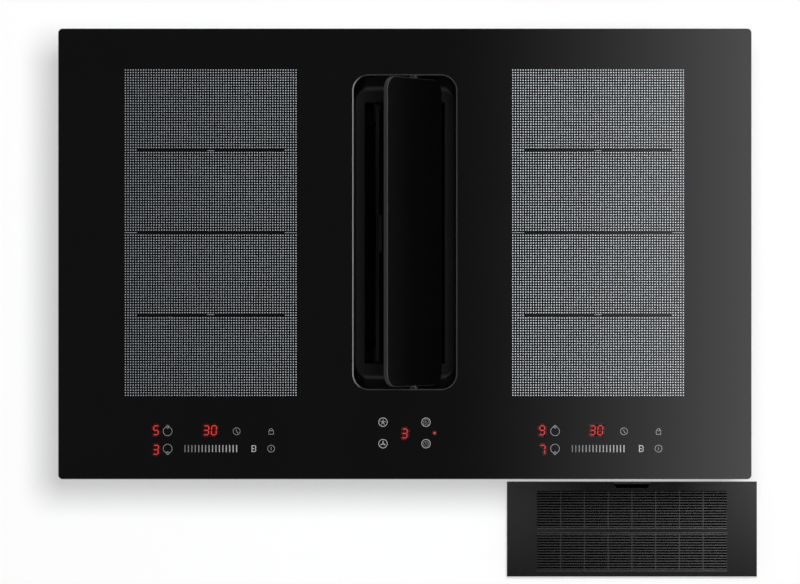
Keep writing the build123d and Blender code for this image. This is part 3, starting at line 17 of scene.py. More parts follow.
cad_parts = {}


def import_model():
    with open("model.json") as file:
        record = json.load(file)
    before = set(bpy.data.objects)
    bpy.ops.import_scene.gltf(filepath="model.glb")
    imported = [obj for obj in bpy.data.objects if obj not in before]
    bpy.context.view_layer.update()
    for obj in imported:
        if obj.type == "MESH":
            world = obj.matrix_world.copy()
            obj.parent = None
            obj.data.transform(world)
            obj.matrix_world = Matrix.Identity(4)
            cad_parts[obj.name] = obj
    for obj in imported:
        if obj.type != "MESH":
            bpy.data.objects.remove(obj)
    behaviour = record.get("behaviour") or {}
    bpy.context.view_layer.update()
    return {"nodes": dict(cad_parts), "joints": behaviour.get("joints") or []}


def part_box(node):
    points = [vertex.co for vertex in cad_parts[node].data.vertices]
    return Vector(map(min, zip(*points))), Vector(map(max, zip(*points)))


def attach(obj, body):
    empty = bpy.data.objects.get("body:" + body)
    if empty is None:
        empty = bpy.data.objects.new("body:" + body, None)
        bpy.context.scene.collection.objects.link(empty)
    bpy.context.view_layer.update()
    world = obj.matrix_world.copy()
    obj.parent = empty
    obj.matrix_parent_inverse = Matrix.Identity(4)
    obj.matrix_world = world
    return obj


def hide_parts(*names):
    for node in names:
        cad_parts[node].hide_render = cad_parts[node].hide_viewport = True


LOG = logging.getLogger("cooktop")
MM = 0.001
INK = 0.04  # thickness of everything printed on the glass
WHITE = "#FFFFFF"
FULL_TURN = (0.0, 360.0)
RING_SIDES = 36
NOISE_SPAN = (0.25, 0.75)  # the part of its range in which soft noise mostly lies
FACING = 0.9  # least part of a normal along Z for a face that looks up or down
Socket = bpy.types.NodeSocket
Thing = bpy.types.Object
Pair = tuple[float, float]
Axis = tuple[float, float, float]
FaceTest = Callable[[Vector, Vector], bool]
Look = dict[str, object]


# --- shader nodes ---
def linear(colour: str) -> tuple[float, float, float, float]:
    """Turns an sRGB colour into the linear one that a shader takes.

    Args:
        colour: Six hex digits after a hash sign.

    Returns:
        The linear red, green and blue, and a 1 for full cover.
    """
    shares = [int(colour[at : at + 2], 16) / 255 for at in (1, 3, 5)]
    straight = [s / 12.92 if s <= 0.04045 else ((s + 0.055) / 1.055) ** 2.4 for s in shares]
    return (*straight, 1.0)


def per_metre(size_mm: float) -> float:
    """The texture scale at which one feature measures that many millimetres."""
    return 1.0 / (size_mm * MM)


class Shading:
    """The node tree of a material or world, with short calls for the nodes that the looks are made of."""

    def __init__(self, owner: bpy.types.Material | bpy.types.World) -> None:
        """Starts with an empty tree and the texture coordinates.

        Args:
            owner: The material or world, whose old nodes go.
        """
        self.owner = owner
        owner.use_nodes = True
        owner.node_tree.nodes.clear()
        self.place = self.add("TexCoord").outputs
        self.where = self.place["Object"]

    def add(self, kind: str, inputs: dict | None = None, **settings: object) -> bpy.types.Node:
        """Adds one node, with its settings, values and links.

        Args:
            kind: The node's type name, without its first two words.
            inputs: Values, hex colours or sockets by input name or number.
            **settings: Properties of the node.

        Returns:
            The node.
        """
        tree = self.owner.node_tree
        node = tree.nodes.new(f"ShaderNode{kind}")
        for key, value in settings.items():
            setattr(node, key, value)
        for key, value in (inputs or {}).items():
            if isinstance(value, Socket):
                tree.links.new(value, node.inputs[key])
            else:
                node.inputs[key].default_value = linear(value) if isinstance(value, str) else value
        return node

    def show(self, shader: bpy.types.Node) -> None:
        """Ends the tree with that shader as the owner's surface."""
        kind = "OutputWorld" if isinstance(self.owner, bpy.types.World) else "OutputMaterial"
        self.add(kind, {"Surface": shader.outputs[0]})

    def math(self, operation: str, first: object, *rest: object) -> Socket:
        """The result of one sum on sockets and numbers, folded from the left where there are several.

        Args:
            operation: Name of the sum.
            first: The first socket or number.
            *rest: The others, which are taken in one after another.

        Returns:
            The socket of the result.
        """
        if not rest:
            return self.add("Math", {0: first}, operation=operation).outputs[0]
        for value in rest:
            first = self.add("Math", {0: first, 1: value}, operation=operation).outputs[0]
        return first

    def along(self, way: Socket, axis: Axis) -> Socket:
        """The part of a vector along one axis."""
        return self.add("VectorMath", {0: way, 1: axis}, operation="DOT_PRODUCT").outputs["Value"]

    def split(self, way: Socket) -> bpy.types.NodeOutputs:
        """The X, Y and Z of a vector."""
        return self.add("SeparateXYZ", {"Vector": way}).outputs

    def blend(self, share: Socket, low: Socket | str, high: Socket | str) -> Socket:
        """Mixes two colours by a share from 0 to 1."""
        return self.add("Mix", {0: share, 6: low, 7: high}, data_type="RGBA").outputs[2]

    def spread(self, value: Socket, source: Pair, result: Pair = (0.0, 1.0)) -> Socket:
        """Maps a value from one range to another, held inside it."""
        limits = {"From Min": source[0], "From Max": source[1], "To Min": result[0], "To Max": result[1]}
        return self.add("MapRange", {"Value": value, **limits}).outputs["Result"]

    def step(self, value: Socket, span: Pair) -> Socket:
        """A share that goes from 0 to 1 between two sizes in millimetres."""
        return self.spread(value, (span[0] * MM, span[1] * MM))


# --- modelling ---
def clear_selection() -> None:
    """Deselects everything, so that an operator acts on the new piece alone."""
    for thing in bpy.context.selected_objects:
        thing.select_set(False)


def apply_place(thing: Thing) -> None:
    """Puts the object's own place, turn and scale into its mesh.

    Args:
        thing: The object.
    """
    clear_selection()
    thing.select_set(True)
    bpy.context.view_layer.objects.active = thing
    bpy.ops.object.transform_apply(location=True, rotation=True, scale=True)


def placed(size: Axis = (1.0, 1.0, 1.0)) -> Thing:
    """Scales the primitive that was just added and applies its place.

    Args:
        size: Its scale along each axis.

    Returns:
        The primitive.
    """
    thing = bpy.context.object
    thing.scale = size
    apply_place(thing)
    return thing


def block(middle: Vector, size: Axis) -> Thing:
    """Makes a box.

    Args:
        middle: Its middle, in metres.
        size: Its size, in metres.

    Returns:
        The box.
    """
    clear_selection()
    bpy.ops.mesh.primitive_cube_add(size=1.0, location=middle)
    return placed(size)


def sheet(middle: Axis, size: Pair, turn: float = 0.0) -> Thing:
    """Makes a flat sheet that faces up.

    Args:
        middle: Its middle, in metres.
        size: Its length and width, in metres.
        turn: Its turn about Z, in degrees.

    Returns:
        The sheet.
    """
    clear_selection()
    bpy.ops.mesh.primitive_plane_add(size=1.0, location=middle, rotation=(0.0, 0.0, math.radians(turn)))
    return placed((*size, 1.0))


def polygon(middle: Axis, radius: float, sides: int) -> Thing:
    """Makes a flat regular polygon.

    Args:
        middle: Its middle, in metres.
        radius: Its radius, in metres.
        sides: How many sides it has.

    Returns:
        The polygon.
    """
    clear_selection()
    bpy.ops.mesh.primitive_circle_add(vertices=sides, radius=radius, fill_type="NGON", location=middle)
    return placed()


def drum(foot: Axis, radius: float, height: float, sides: int) -> Thing:
    """Makes an upright cylinder.

    Args:
        foot: The middle of its lower face, in metres.
        radius: Its radius, in metres.
        height: Its height, in metres.
        sides: How many sides it has.

    Returns:
        The cylinder.
    """
    clear_selection()
    middle = (foot[0], foot[1], foot[2] + height / 2)
    bpy.ops.mesh.primitive_cylinder_add(vertices=sides, radius=radius, depth=height, location=middle)
    return placed()


def apply_modifier(thing: Thing, kind: str, **settings: object) -> None:
    """Adds a modifier with its settings and applies it to the mesh.

    Args:
        thing: The object.
        kind: The modifier's type.
        **settings: Properties of the modifier.
    """
    bpy.context.view_layer.objects.active = thing
    modifier = thing.modifiers.new(kind.title(), kind)
    for key, value in settings.items():
        setattr(modifier, key, value)
    bpy.ops.object.modifier_apply(modifier=modifier.name)


def repeat(thing: Thing, step: Axis, count: int) -> None:
    """Copies the mesh a number of times, each copy one step further."""
    settings = {"use_relative_offset": False, "use_constant_offset": True, "constant_offset_displace": step}
    apply_modifier(thing, "ARRAY", count=count, **settings)


def carve(thing: Thing, cutter: Thing) -> None:
    """Cuts one piece out of another and drops the cutter."""
    apply_modifier(thing, "BOOLEAN", operation="DIFFERENCE", object=cutter)
    bpy.data.objects.remove(cutter)


def join(pieces: list[Thing]) -> Thing:
    """Makes one object of several.

    Args:
        pieces: The objects.

    Returns:
        The joined object.
    """
    clear_selection()
    for piece in pieces:
        piece.select_set(True)
    bpy.context.view_layer.objects.active = pieces[0]
    if len(pieces) > 1:
        bpy.ops.object.join()
    return bpy.context.view_layer.objects.active


def copies(piece: Thing, moves: list[Matrix]) -> Thing:
    """Copies a piece once for each move and joins the copies.

    Args:
        piece: The piece, which isn't kept.
        moves: How each copy's mesh is moved.

    Returns:
        The joined copies.
    """
    made = []
    for move in moves:
        copy = piece.copy()
        copy.data = piece.data.copy()
        copy.data.transform(move)
        bpy.context.scene.collection.objects.link(copy)
        made.append(copy)
    bpy.data.objects.remove(piece)
    return join(made)


def select_by(thing: Thing, wanted: FaceTest) -> None:
    """Goes into edit mode with just those faces selected that pass a test.

    Args:
        thing: The object.
        wanted: The test of a face's middle and normal.
    """
    bpy.context.view_layer.objects.active = thing
    bpy.ops.object.mode_set(mode="EDIT")
    bpy.ops.mesh.select_mode(type="FACE")
    bpy.ops.mesh.select_all(action="DESELECT")
    mesh = bmesh.from_edit_mesh(thing.data)
    for face in mesh.faces:
        face.select = bool(wanted(face.calc_center_median(), face.normal))
    mesh.select_flush_mode()
    bmesh.update_edit_mesh(thing.data)


def delete_faces(thing: Thing, wanted: FaceTest) -> None:
    """Deletes the faces that pass a test.

    Args:
        thing: The object.
        wanted: The test of a face's middle and normal.
    """
    select_by(thing, wanted)
    bpy.ops.mesh.delete(type="FACE")
    bpy.ops.object.mode_set(mode="OBJECT")


def every_face(_middle: Vector, _normal: Vector) -> bool:
    """The test that every face passes."""
    return True


def bevel(
    thing: Thing, width: float, segments: int, wanted: FaceTest = every_face, affect: str = "EDGES"
) -> None:
    """Bevels the edges or corners of the faces that pass a test.

    Args:
        thing: The object.
        width: Width of the bevel, in millimetres.
        segments: How many steps it has.
        wanted: The test of a face's middle and normal.
        affect: EDGES or VERTICES.
    """
    select_by(thing, wanted)
    bpy.ops.mesh.bevel(offset=width * MM, segments=segments, affect=affect)
    bpy.ops.object.mode_set(mode="OBJECT")


# --- finishes ---
@dataclass(frozen=True)
class Finish:
    """A finish with soft patches of a second colour, a fine grain and uneven gloss."""

    name: str
    colour: str
    shade: str
    roughness: float
    metallic: float = 0.0
    patch: float = 40.0
    grain: float = 0.8
    bump: float = 0.02
    gloss_spread: float = 0.06
    specular: float = 0.5

    def material(self) -> bpy.types.Material:
        """Makes the material of this finish at its first use.

        Returns:
            The material.
        """
        made = bpy.data.materials.get(self.name)
        if made is None:
            made = bpy.data.materials.new(self.name)
            nodes = Shading(made)
            fixed = {"Metallic": self.metallic, "Specular IOR Level": self.specular}
            nodes.show(nodes.add("BsdfPrincipled", {**fixed, **self.look(nodes)}))
        return made

    def look(self, nodes: Shading) -> Look:
        """Colour, roughness and bump, or whatever else a finish sets.

        Args:
            nodes: The material's nodes.

        Returns:
            The shader inputs by name.
        """
        patches = self.noise(nodes, self.patch, 4.0)
        grain = self.noise(nodes, self.grain, 2.0)
        return self.textured(nodes, patches, self.colour, self.shade, grain)

    def noise(self, nodes: Shading, size: float, detail: float, where: Socket | None = None) -> Socket:
        """Soft noise.

        Args:
            nodes: The material's nodes.
            size: Size of its features, in millimetres.
            detail: How many finer layers it has.
            where: The place to read, if it isn't the object's own.

        Returns:
            A share from 0 to 1.
        """
        source = nodes.where if where is None else where
        settings = {"Vector": source, "Scale": per_metre(size), "Detail": detail}
        return nodes.add("TexNoise", settings).outputs["Fac"]

    def gloss(self, nodes: Shading, share: Socket) -> Socket:
        """Roughness that drifts a little with a share."""
        limits = (self.roughness - self.gloss_spread, self.roughness + self.gloss_spread)
        return nodes.spread(share, NOISE_SPAN, limits)

    def grained(self, nodes: Shading, height: Socket) -> Socket:
        """A bump of the grain's depth from that height."""
        settings = {"Height": height, "Strength": 1.0, "Distance": self.bump * MM}
        return nodes.add("Bump", settings).outputs["Normal"]

    def textured(
        self, nodes: Shading, share: Socket, low: str, high: str, height: Socket | None = None
    ) -> Look:
        """Colour, gloss and bump that follow one pattern.

        Args:
            nodes: The material's nodes.
            share: The pattern, from 0 to 1.
            low: Colour at 0.
            high: Colour at 1.
            height: Height for the bump, if it isn't the pattern.

        Returns:
            The shader inputs by name.
        """
        return {
            "Base Color": nodes.blend(share, low, high),
            "Roughness": self.gloss(nodes, share),
            "Normal": self.grained(nodes, share if height is None else height),
        }


@dataclass(frozen=True)
class GlassCeramic(Finish):
    """Black glass-ceramic: polished faces, dark ground sides, and a bevel that shows as a fine line."""

    polished: Axis = (0.0, 0.0, 1.0)
    bevel: str = "#8E9092"
    side_shade: str = "#17181A"
    ground_roughness: float = 0.5
    face_lean: Pair = (0.94, 0.985)
    side_lean: Pair = (0.3, 0.5)

    def look(self, nodes: Shading) -> Look:
        """Colour and gloss of face, bevel and side, told apart by how far their normal leans.

        Args:
            nodes: The material's nodes.

        Returns:
            The shader inputs by name.
        """
        lean = nodes.math("ABSOLUTE", nodes.along(nodes.place["Normal"], self.polished))
        edge = nodes.spread(lean, self.face_lean, (1.0, 0.0))
        face = nodes.blend(self.noise(nodes, self.patch, 5.0), self.colour, self.shade)
        side = nodes.blend(self.noise(nodes, self.grain, 2.0), self.side_shade, self.shade)
        ground = nodes.blend(nodes.spread(lean, self.side_lean), side, self.bevel)
        return {
            "Base Color": nodes.blend(edge, face, ground),
            "Roughness": nodes.spread(edge, (0.0, 1.0), (self.roughness, self.ground_roughness)),
        }


@dataclass(frozen=True)
class LippedEnamel(Finish):
    """Black enamelled metal whose upper lip is ground bare: a line that is bright left and dim right, a
    painted highlight fading into painted shade.
    """

    lip_level: float = 0.0
    lip_height: float = 0.2
    lip: str = "#7A7C7E"
    dim_lip_painted_shade: str = "#242526"
    lip_roughness: float = 0.35
    lip_shade_span: Pair = (-59.0, -50.0)

    def look(self, nodes: Shading) -> Look:
        """Colour and gloss on both sides of the lip's level.

        Args:
            nodes: The material's nodes.

        Returns:
            The shader inputs by name.
        """
        base = super().look(nodes)
        where = nodes.split(nodes.where)
        bare = nodes.step(where["Z"], (self.lip_level, self.lip_level + self.lip_height))
        # Painted light: the bare lip's colour goes from a painted highlight on the left to painted shade on
        # the right.
        line = nodes.blend(nodes.step(where["X"], self.lip_shade_span), self.lip, self.dim_lip_painted_shade)
        base["Base Color"] = nodes.blend(bare, base["Base Color"], line)
        base["Roughness"] = nodes.spread(bare, (0.0, 1.0), (self.roughness, self.lip_roughness))
        return base


@dataclass(frozen=True)
class PaintedLightPlastic(Finish):
    """Moulded plastic, satin on its outer plate, with painted shade in near black behind the plate and in the
    grip pocket, and painted highlights on the slats.

    Hands have polished the plate's upper corners, its upper edge and the grip lip. Painted highlights make
    pale lines along the slat ridges and the window's edges, paler to the right, and the eye sees them as fine
    lines over black gaps. Places are millimetres from the window's middle: across, up, and out from the
    plate's face. A pair gives the two places between which a part begins.
    """

    middle: Axis = (0.0, 0.0, 0.0)
    across: Axis = (1.0, 0.0, 0.0)
    up: Axis = (0.0, 1.0, 0.0)
    outward: Axis = (0.0, 0.0, 1.0)
    half_width: float = 151.5
    half_window: Pair = (115.3, 48.2)
    half_bar: float = 3.3
    slat_pitch: float = 3.2
    rib_pitch: float = 28.825
    half_line: Pair = (0.6, 0.45)
    soft: float = 0.1
    grip: Pair = (22.4, 22.2)
    pocket_foot: Pair = (51.5, 51.7)
    pocket_top: Pair = (57.1, 56.9)
    pocket_face: Pair = (-0.4, -0.6)
    plate_back: Pair = (-4.2, -4.7)
    plate_front: Pair = (-0.3, -0.1)
    lip_front: Pair = (0.5, 0.6)
    top_edge: Pair = (58.6, 58.7)
    handled_end: Pair = (53.025, 151.5)
    handled_rise: Pair = (-60.0, 60.0)
    slat: str = "#0C0C0C"
    # Painted highlights along the slat ridges: darker at the left end, paler at the right end.
    ridge: str = "#282828"
    right_ridge_highlight: str = "#585858"
    # Painted shade: the near black of the grip pocket and of everything behind the plate, made matt.
    painted_shade: str = "#020202"
    painted_shade_roughness: float = 0.95
    lesser_share: float = 0.6
    polished: float = 0.47

    def look(self, nodes: Shading) -> Look:
        """Colour and gloss from the place on the plate.

        Args:
            nodes: The material's nodes.

        Returns:
            The shader inputs by name.
        """
        base = super().look(nodes)
        off = nodes.add("VectorMath", {0: nodes.where, 1: self.middle}, operation="SUBTRACT")
        ways = (self.across, self.up, self.outward)
        across, rise, depth = (nodes.along(off.outputs[0], way) for way in ways)
        wide, tall = (nodes.math("ABSOLUTE", way) for way in (across, rise))
        half_wide, half_tall = self.half_window

        # Painted highlights: pale lines on the slat ridges, the ribs and the window's edges, paler to the
        # right.
        right = nodes.step(across, (-self.half_width, self.half_width))
        pale = nodes.blend(right, self.ridge, self.right_ridge_highlight)
        in_window = nodes.math(
            "MULTIPLY", nodes.step(wide, (half_wide + self.soft, half_wide - self.soft)),
            nodes.step(tall, (half_tall + self.soft, half_tall - self.soft)),
            nodes.step(tall, (self.half_bar - self.soft, self.half_bar)),
        )
        slats = self.ridges(nodes, tall, self.half_bar, self.slat_pitch)
        ribs = self.ridges(nodes, wide, -self.rib_pitch / 2, self.rib_pitch)
        ridges = nodes.math("MAXIMUM", slats, nodes.math("MULTIPLY", ribs, self.lesser_share))
        ridge_highlights = nodes.blend(ridges, self.slat, pale)
        lines = nodes.math(
            "MULTIPLY", nodes.step(wide, (half_wide + self.soft, half_wide)),
            nodes.math(
                "MAXIMUM", self.line(nodes, tall, self.half_bar - self.half_line[0]),
                self.line(nodes, rise, -half_tall - self.half_line[0]),
            ),
        )
        plate = nodes.blend(in_window, nodes.blend(lines, base["Base Color"], pale), ridge_highlights)

        # Painted shade: the pocket under the grip lip and everything behind the plate take the near black
        # colour.
        pocket = nodes.math(
            "MULTIPLY", nodes.step(wide, self.grip), nodes.step(depth, self.pocket_face),
            nodes.step(rise, self.pocket_foot), nodes.step(rise, self.pocket_top),
        )
        painted_shade_mask = nodes.math("MAXIMUM", pocket, nodes.step(depth, self.plate_back))
        polish = nodes.math(
            "MAXIMUM", nodes.math("MULTIPLY", nodes.step(depth, self.lip_front), self.lesser_share),
            nodes.math("MULTIPLY", nodes.step(wide, self.handled_end), nodes.step(rise, self.handled_rise)),
            nodes.math("MULTIPLY", nodes.step(rise, self.top_edge), nodes.step(depth, self.plate_front)),
        )
        matt = nodes.math("MAXIMUM", painted_shade_mask, nodes.math("MULTIPLY", in_window, self.lesser_share))
        gloss = nodes.spread(polish, (0.0, 1.0), (self.specular, self.polished))
        return {
            **base,
            "Base Color": nodes.blend(painted_shade_mask, plate, self.painted_shade),
            "Roughness": nodes.spread(painted_shade_mask, (0.0, 1.0), (self.roughness, self.painted_shade_roughness)),
            "Specular IOR Level": nodes.math("MULTIPLY", gloss, nodes.math("SUBTRACT", 1.0, matt)),
        }

    def ridges(self, nodes: Shading, size: Socket, first: float, pitch: float) -> Socket:
        """A share that is 1 on each slat or rib, at a pitch that starts at the first millimetre given."""
        turned = nodes.math("FLOORED_MODULO", nodes.math("SUBTRACT", size, first * MM), pitch * MM)
        return self.line(nodes, turned, pitch / 2)

    def line(self, nodes: Shading, size: Socket, middle: float) -> Socket:
        """A share that is 1 on a line of a millimetre round one distance."""
        off = nodes.math("ABSOLUTE", nodes.math("SUBTRACT", size, middle * MM))
        return nodes.step(off, self.half_line)


@dataclass(frozen=True)
class GalvanisedSheet(Finish):
    """Zinc-coated sheet steel: flat grey with frost-like crystals about a centimetre across."""

    crystal: float = 7.0
    wobble: float = 0.6
    grey_spread: float = 0.1

    def look(self, nodes: Shading) -> Look:
        """Each crystal has its own grey and its own gloss.

        Args:
            nodes: The material's nodes.

        Returns:
            The shader inputs by name.
        """
        scale = per_metre(self.crystal * self.wobble)
        wobble = nodes.add("TexNoise", {"Vector": nodes.where, "Scale": scale})
        settings = {0: wobble.outputs["Color"], "Scale": self.crystal * 0.5 * MM}
        moved = nodes.add("VectorMath", settings, operation="SCALE").outputs[0]
        shifted = nodes.add("VectorMath", {0: nodes.where, 1: moved}, operation="ADD").outputs[0]
        cells = nodes.add("TexVoronoi", {"Vector": shifted, "Scale": per_metre(self.crystal)})
        grey = nodes.add("SeparateColor", {"Color": cells.outputs["Color"]}).outputs["Red"]
        limits = (self.roughness - self.grey_spread, self.roughness + self.grey_spread)
        return {
            "Base Color": nodes.blend(grey, self.colour, self.shade),
            "Roughness": nodes.spread(grey, (0.0, 1.0), limits),
            "Normal": self.grained(nodes, cells.outputs["Distance"]),
        }


@dataclass(frozen=True)
class BrushedMetal(Finish):
    """Metal with fine straight brush lines, which stretch its highlight across them."""

    brushed: Axis = (0.03, 1.0, 1.0)

    def look(self, nodes: Shading) -> Look:
        """Noise stretched along the brushing.

        Args:
            nodes: The material's nodes.

        Returns:
            The shader inputs by name.
        """
        stretched = nodes.add("Mapping", {"Vector": nodes.where, "Scale": self.brushed})
        lines = self.noise(nodes, self.grain, 3.0, stretched.outputs["Vector"])
        return self.textured(nodes, lines, self.colour, self.shade)


@dataclass(frozen=True)
class Granular(Finish):
    """Pressed granules or foam cells: round lumps with painted shade in the gaps between them."""

    def look(self, nodes: Shading) -> Look:
        """Lumps from the distance to the middle of each granule.

        Args:
            nodes: The material's nodes.

        Returns:
            The shader inputs by name.
        """
        cells = nodes.add("TexVoronoi", {"Vector": nodes.where, "Scale": per_metre(self.grain)})
        lump = nodes.spread(cells.outputs["Distance"], (0.0, 0.7), (1.0, 0.0))
        return self.textured(nodes, lump, self.shade, self.colour)


@dataclass(frozen=True)
class WoundWire(Finish):
    """Stranded copper wound in even turns: fine ridges side by side, a painted highlight on each ridge and
    painted shade in the grooves between turns.
    """

    wave_scale: float = 6.3
    wobble: float = 0.4

    def look(self, nodes: Shading) -> Look:
        """Parallel ridges, one for each turn of wire.

        Args:
            nodes: The material's nodes.

        Returns:
            The shader inputs by name.
        """
        scale = per_metre(self.grain) / self.wave_scale
        settings = {"Vector": nodes.where, "Scale": scale, "Distortion": self.wobble}
        ridge = nodes.add("TexWave", settings, bands_direction="Y").outputs["Fac"]
        return self.textured(nodes, ridge, self.shade, self.colour)


@dataclass(frozen=True)
class CircuitBoard(Finish):
    """Solder-masked board: glossy green with paler copper tracks under the mask."""

    track: float = 5.0
    track_share: float = 0.06
    copper: str = "#2E7A45"

    def look(self, nodes: Shading) -> Look:
        """Tracks as the joints of a brick pattern.

        Args:
            nodes: The material's nodes.

        Returns:
            The shader inputs by name.
        """
        colours = {"Color1": self.colour, "Color2": self.shade, "Mortar": self.copper}
        sizes = {"Scale": per_metre(self.track), "Mortar Size": self.track_share}
        bricks = nodes.add("TexBrick", {"Vector": nodes.where, **colours, **sizes})
        patches = self.noise(nodes, self.patch, 3.0)
        return {"Base Color": bricks.outputs["Color"], "Roughness": self.gloss(nodes, patches)}


@dataclass(frozen=True)
class InkFadeAndPaintedLight(Finish):
    """Printed enamel that grows paler from the low to the high end of each group of keys; where one group
    spans the whole glass, the paler right end is painted light.
    """

    start: float = 0.0
    length: float = 60.0
    group: float = 447.0

    def look(self, nodes: Shading) -> Look:
        """The same fade in each group, with the ink's own grain.

        Args:
            nodes: The material's nodes.

        Returns:
            The shader inputs by name.
        """
        base = super().look(nodes)
        moved = nodes.math("ADD", nodes.split(nodes.where)["X"], -self.start * MM)
        share = nodes.step(nodes.math("FLOORED_MODULO", moved, self.group * MM), (0.0, self.length))
        return {**base, "Base Color": nodes.blend(share, self.shade, self.colour)}


@dataclass(frozen=True)
class LitRed(Finish):
    """Red light from a display that shines through the glass, a little brighter in spots."""

    light: str = "#FF2A20"

    def look(self, nodes: Shading) -> Look:
        """A black face that gives off the display's light.

        Args:
            nodes: The material's nodes.

        Returns:
            The shader inputs by name.
        """
        lit = nodes.blend(self.noise(nodes, self.grain, 2.0), self.light, self.shade)
        still = {"Base Color": self.colour, "Roughness": self.roughness, "Emission Strength": 1.0}
        return {**still, "Emission Color": lit}


# Typical values of each real material, matched to the object afterwards, and the nodes that take them.
# The dry-touch finishes keep a grain coarser than life, because the real one is too fine to show.
# The dot ink grows paler from left to right across the glass: painted light, not a change in the print.
PRINTED_ENAMEL = InkFadeAndPaintedLight(
    "printed_enamel", "#DEE4EA", "#A6ACB2", 0.3, metallic=0.22, start=-330.0, length=450.0, group=2000.0
)
KEY_ENAMEL = Finish(
    "key_enamel", "#A0A2A4", "#96989A", 0.3, metallic=0.42, patch=1.0, grain=0.3, bump=0.004
)
FAN_KEY_ENAMEL = Finish(
    "fan_key_enamel", "#B0B2B4", "#A6A8AA", 0.3, metallic=0.3, patch=1.0, grain=0.3, bump=0.004
)
SLIDER_ENAMEL = InkFadeAndPaintedLight(
    "slider_enamel", "#BCBEC0", "#727476", 0.3, metallic=0.3, start=-255.7, length=64.0
)
LIT_SEGMENT = LitRed("lit_segment", "#080101", "#CC4C4C", 0.3, grain=1.2, light="#E45E5C", specular=0.25)
LIT_HALO = LitRed("lit_halo", "#060101", "#6C0002", 0.3, grain=2.0, light="#7A0003", specular=0.25)
LIT_GLOW = LitRed("lit_glow", "#060101", "#1E0405", 0.3, grain=2.0, light="#260506")
ZINC_PLATED = Finish("zinc_plated_steel", "#B4B2A6", "#9A9A94", 0.3, metallic=1.0, patch=6.0, bump=0.01)
BLACK_PLASTIC = Finish(
    "moulded_black_plastic", "#17181A", "#111213", 0.42, patch=30.0, grain=0.7, bump=0.03
)
CHARCOAL = Granular("charcoal_granules", "#060606", "#010101", 0.9, grain=2.0, bump=0.8, specular=0.0)
# Painted shade: the near-black strip on the grip lip stands for the shadow under the lip.
GRIP_SHADE_STRIP = Finish("grip_painted_shade", "#060606", "#040404", 0.8, grain=0.5, bump=0.03, specular=0.1)
NODE_FINISHES: dict[Finish, str] = {
    Granular("foam_seal", "#1E1E1F", "#0C0C0C", 0.9, grain=0.9, bump=0.3): "glass_seal",
    Finish("black_silicone", "#161617", "#101011", 0.5, patch=20.0, grain=2.5, bump=0.05):
        "glass_bond intake_gasket",
    Finish("moulded_rubber", "#141414", "#1B1B1B", 0.75, grain=0.5, bump=0.03): "motor_grommets",
    GalvanisedSheet("galvanised_steel", "#A2A5A8", "#8E9296", 0.46, metallic=0.85):
        "upper_tray lower_box lower_lid",
    BrushedMetal("rolled_aluminium", "#C4C6C9", "#A5A8AB", 0.38, metallic=1.0, grain=0.4): "coil_carriers",
    BrushedMetal(
        "extruded_aluminium", "#B8BABD", "#989B9E", 0.35, metallic=1.0, grain=0.3, brushed=(1.0, 0.03, 1.0)
    ): "heat_sinks",
    # Painted shade: the grease filter's frame and mesh, and the flap bracket, are made near black for the
    # unlit well they stand in.
    BrushedMetal("steel_with_painted_shade", "#101011", "#0A0A0B", 0.42, metallic=0.3, grain=0.25):
        "grease_filter_frame flap_bracket",
    Granular("filter_mesh_with_painted_shade", "#070707", "#030303", 0.6, specular=0.2, grain=1.4, bump=0.3):
        "grease_filter_mesh",
    ZINC_PLATED: "carrier_posts worktop_clamps flap_pins casing_screws clamp_screws",
    BrushedMetal("spring_wire", "#84868A", "#65676B", 0.3, metallic=1.0, grain=0.3): "carrier_springs",
    Finish("heat_proof_plastic", "#D8D5C8", "#CBC7B8", 0.5, patch=25.0): "coil_formers",
    WoundWire("stranded_copper", "#B4683A", "#5E2E14", 0.38, metallic=0.9, grain=2.2, bump=0.8):
        "induction_coils",
    Finish("sintered_ferrite", "#26262A", "#1B1B1E", 0.55, patch=8.0, grain=0.6, bump=0.03): "ferrite_bars",
    Finish("pressed_mica", "#B7A98C", "#8D7E62", 0.42, patch=7.0, grain=1.5, bump=0.03): "mica_sheets",
    Finish("sensor_plastic", "#E2E1DA", "#D2D0C6", 0.45, patch=6.0): "temperature_sensors",
    CircuitBoard("solder_masked_board", "#123E22", "#0E3219", 0.28):
        "inverter_boards mains_filter_board touch_boards fan_touch_board blower_board",
    Finish("capacitor_sleeve", "#1A2038", "#12172A", 0.25, patch=9.0, bump=0.01): "power_capacitors",
    Finish("fan_plastic", "#1C1C1E", "#141416", 0.45, patch=15.0):
        "cooling_fan_housings cooling_rotor_left cooling_rotor_right",
    Finish("terminal_plastic", "#D5D0BE", "#C6C0AC", 0.48, patch=10.0): "terminal_block",
    BLACK_PLASTIC: "terminal_cover cable_gland duct_sleeve outlet_duct",
    Finish("holder_plastic", "#0A0A0A", "#070707", 0.6, patch=30.0, bump=0.03, specular=0.15):
        "cassette_holder",
    Finish("smoked_display_window", "#240607", "#160304", 0.2, patch=12.0, bump=0.005): "display_modules",
    Granular("conductive_foam", "#3C3C3E", "#1E1E20", 0.85, bump=0.2): "touch_springs",
    Finish("natural_acetal", "#D6D6D0", "#C8C8C2", 0.36, patch=14.0, bump=0.01): "drawer_rails flap_bushes",
    Finish("moulded_grey_plastic", "#53565A", "#484B4F", 0.46, patch=35.0, bump=0.03):
        "blower_scroll scroll_cover inlet_ring impeller damper_frame",
    Finish("painted_motor_shell", "#2F3033", "#242528", 0.4, patch=12.0, grain=1.0, bump=0.03):
        "blower_motor",
    CHARCOAL: "charcoal_bed_left charcoal_bed_loose",
    Finish("damper_plastic", "#2A2B2D", "#212224", 0.5, patch=20.0): "damper_flap_left damper_flap_right",
    Finish("drawer_plastic", "#2C2D30", "#232427", 0.44, patch=30.0, grain=0.7, bump=0.03): "drip_drawer",
}


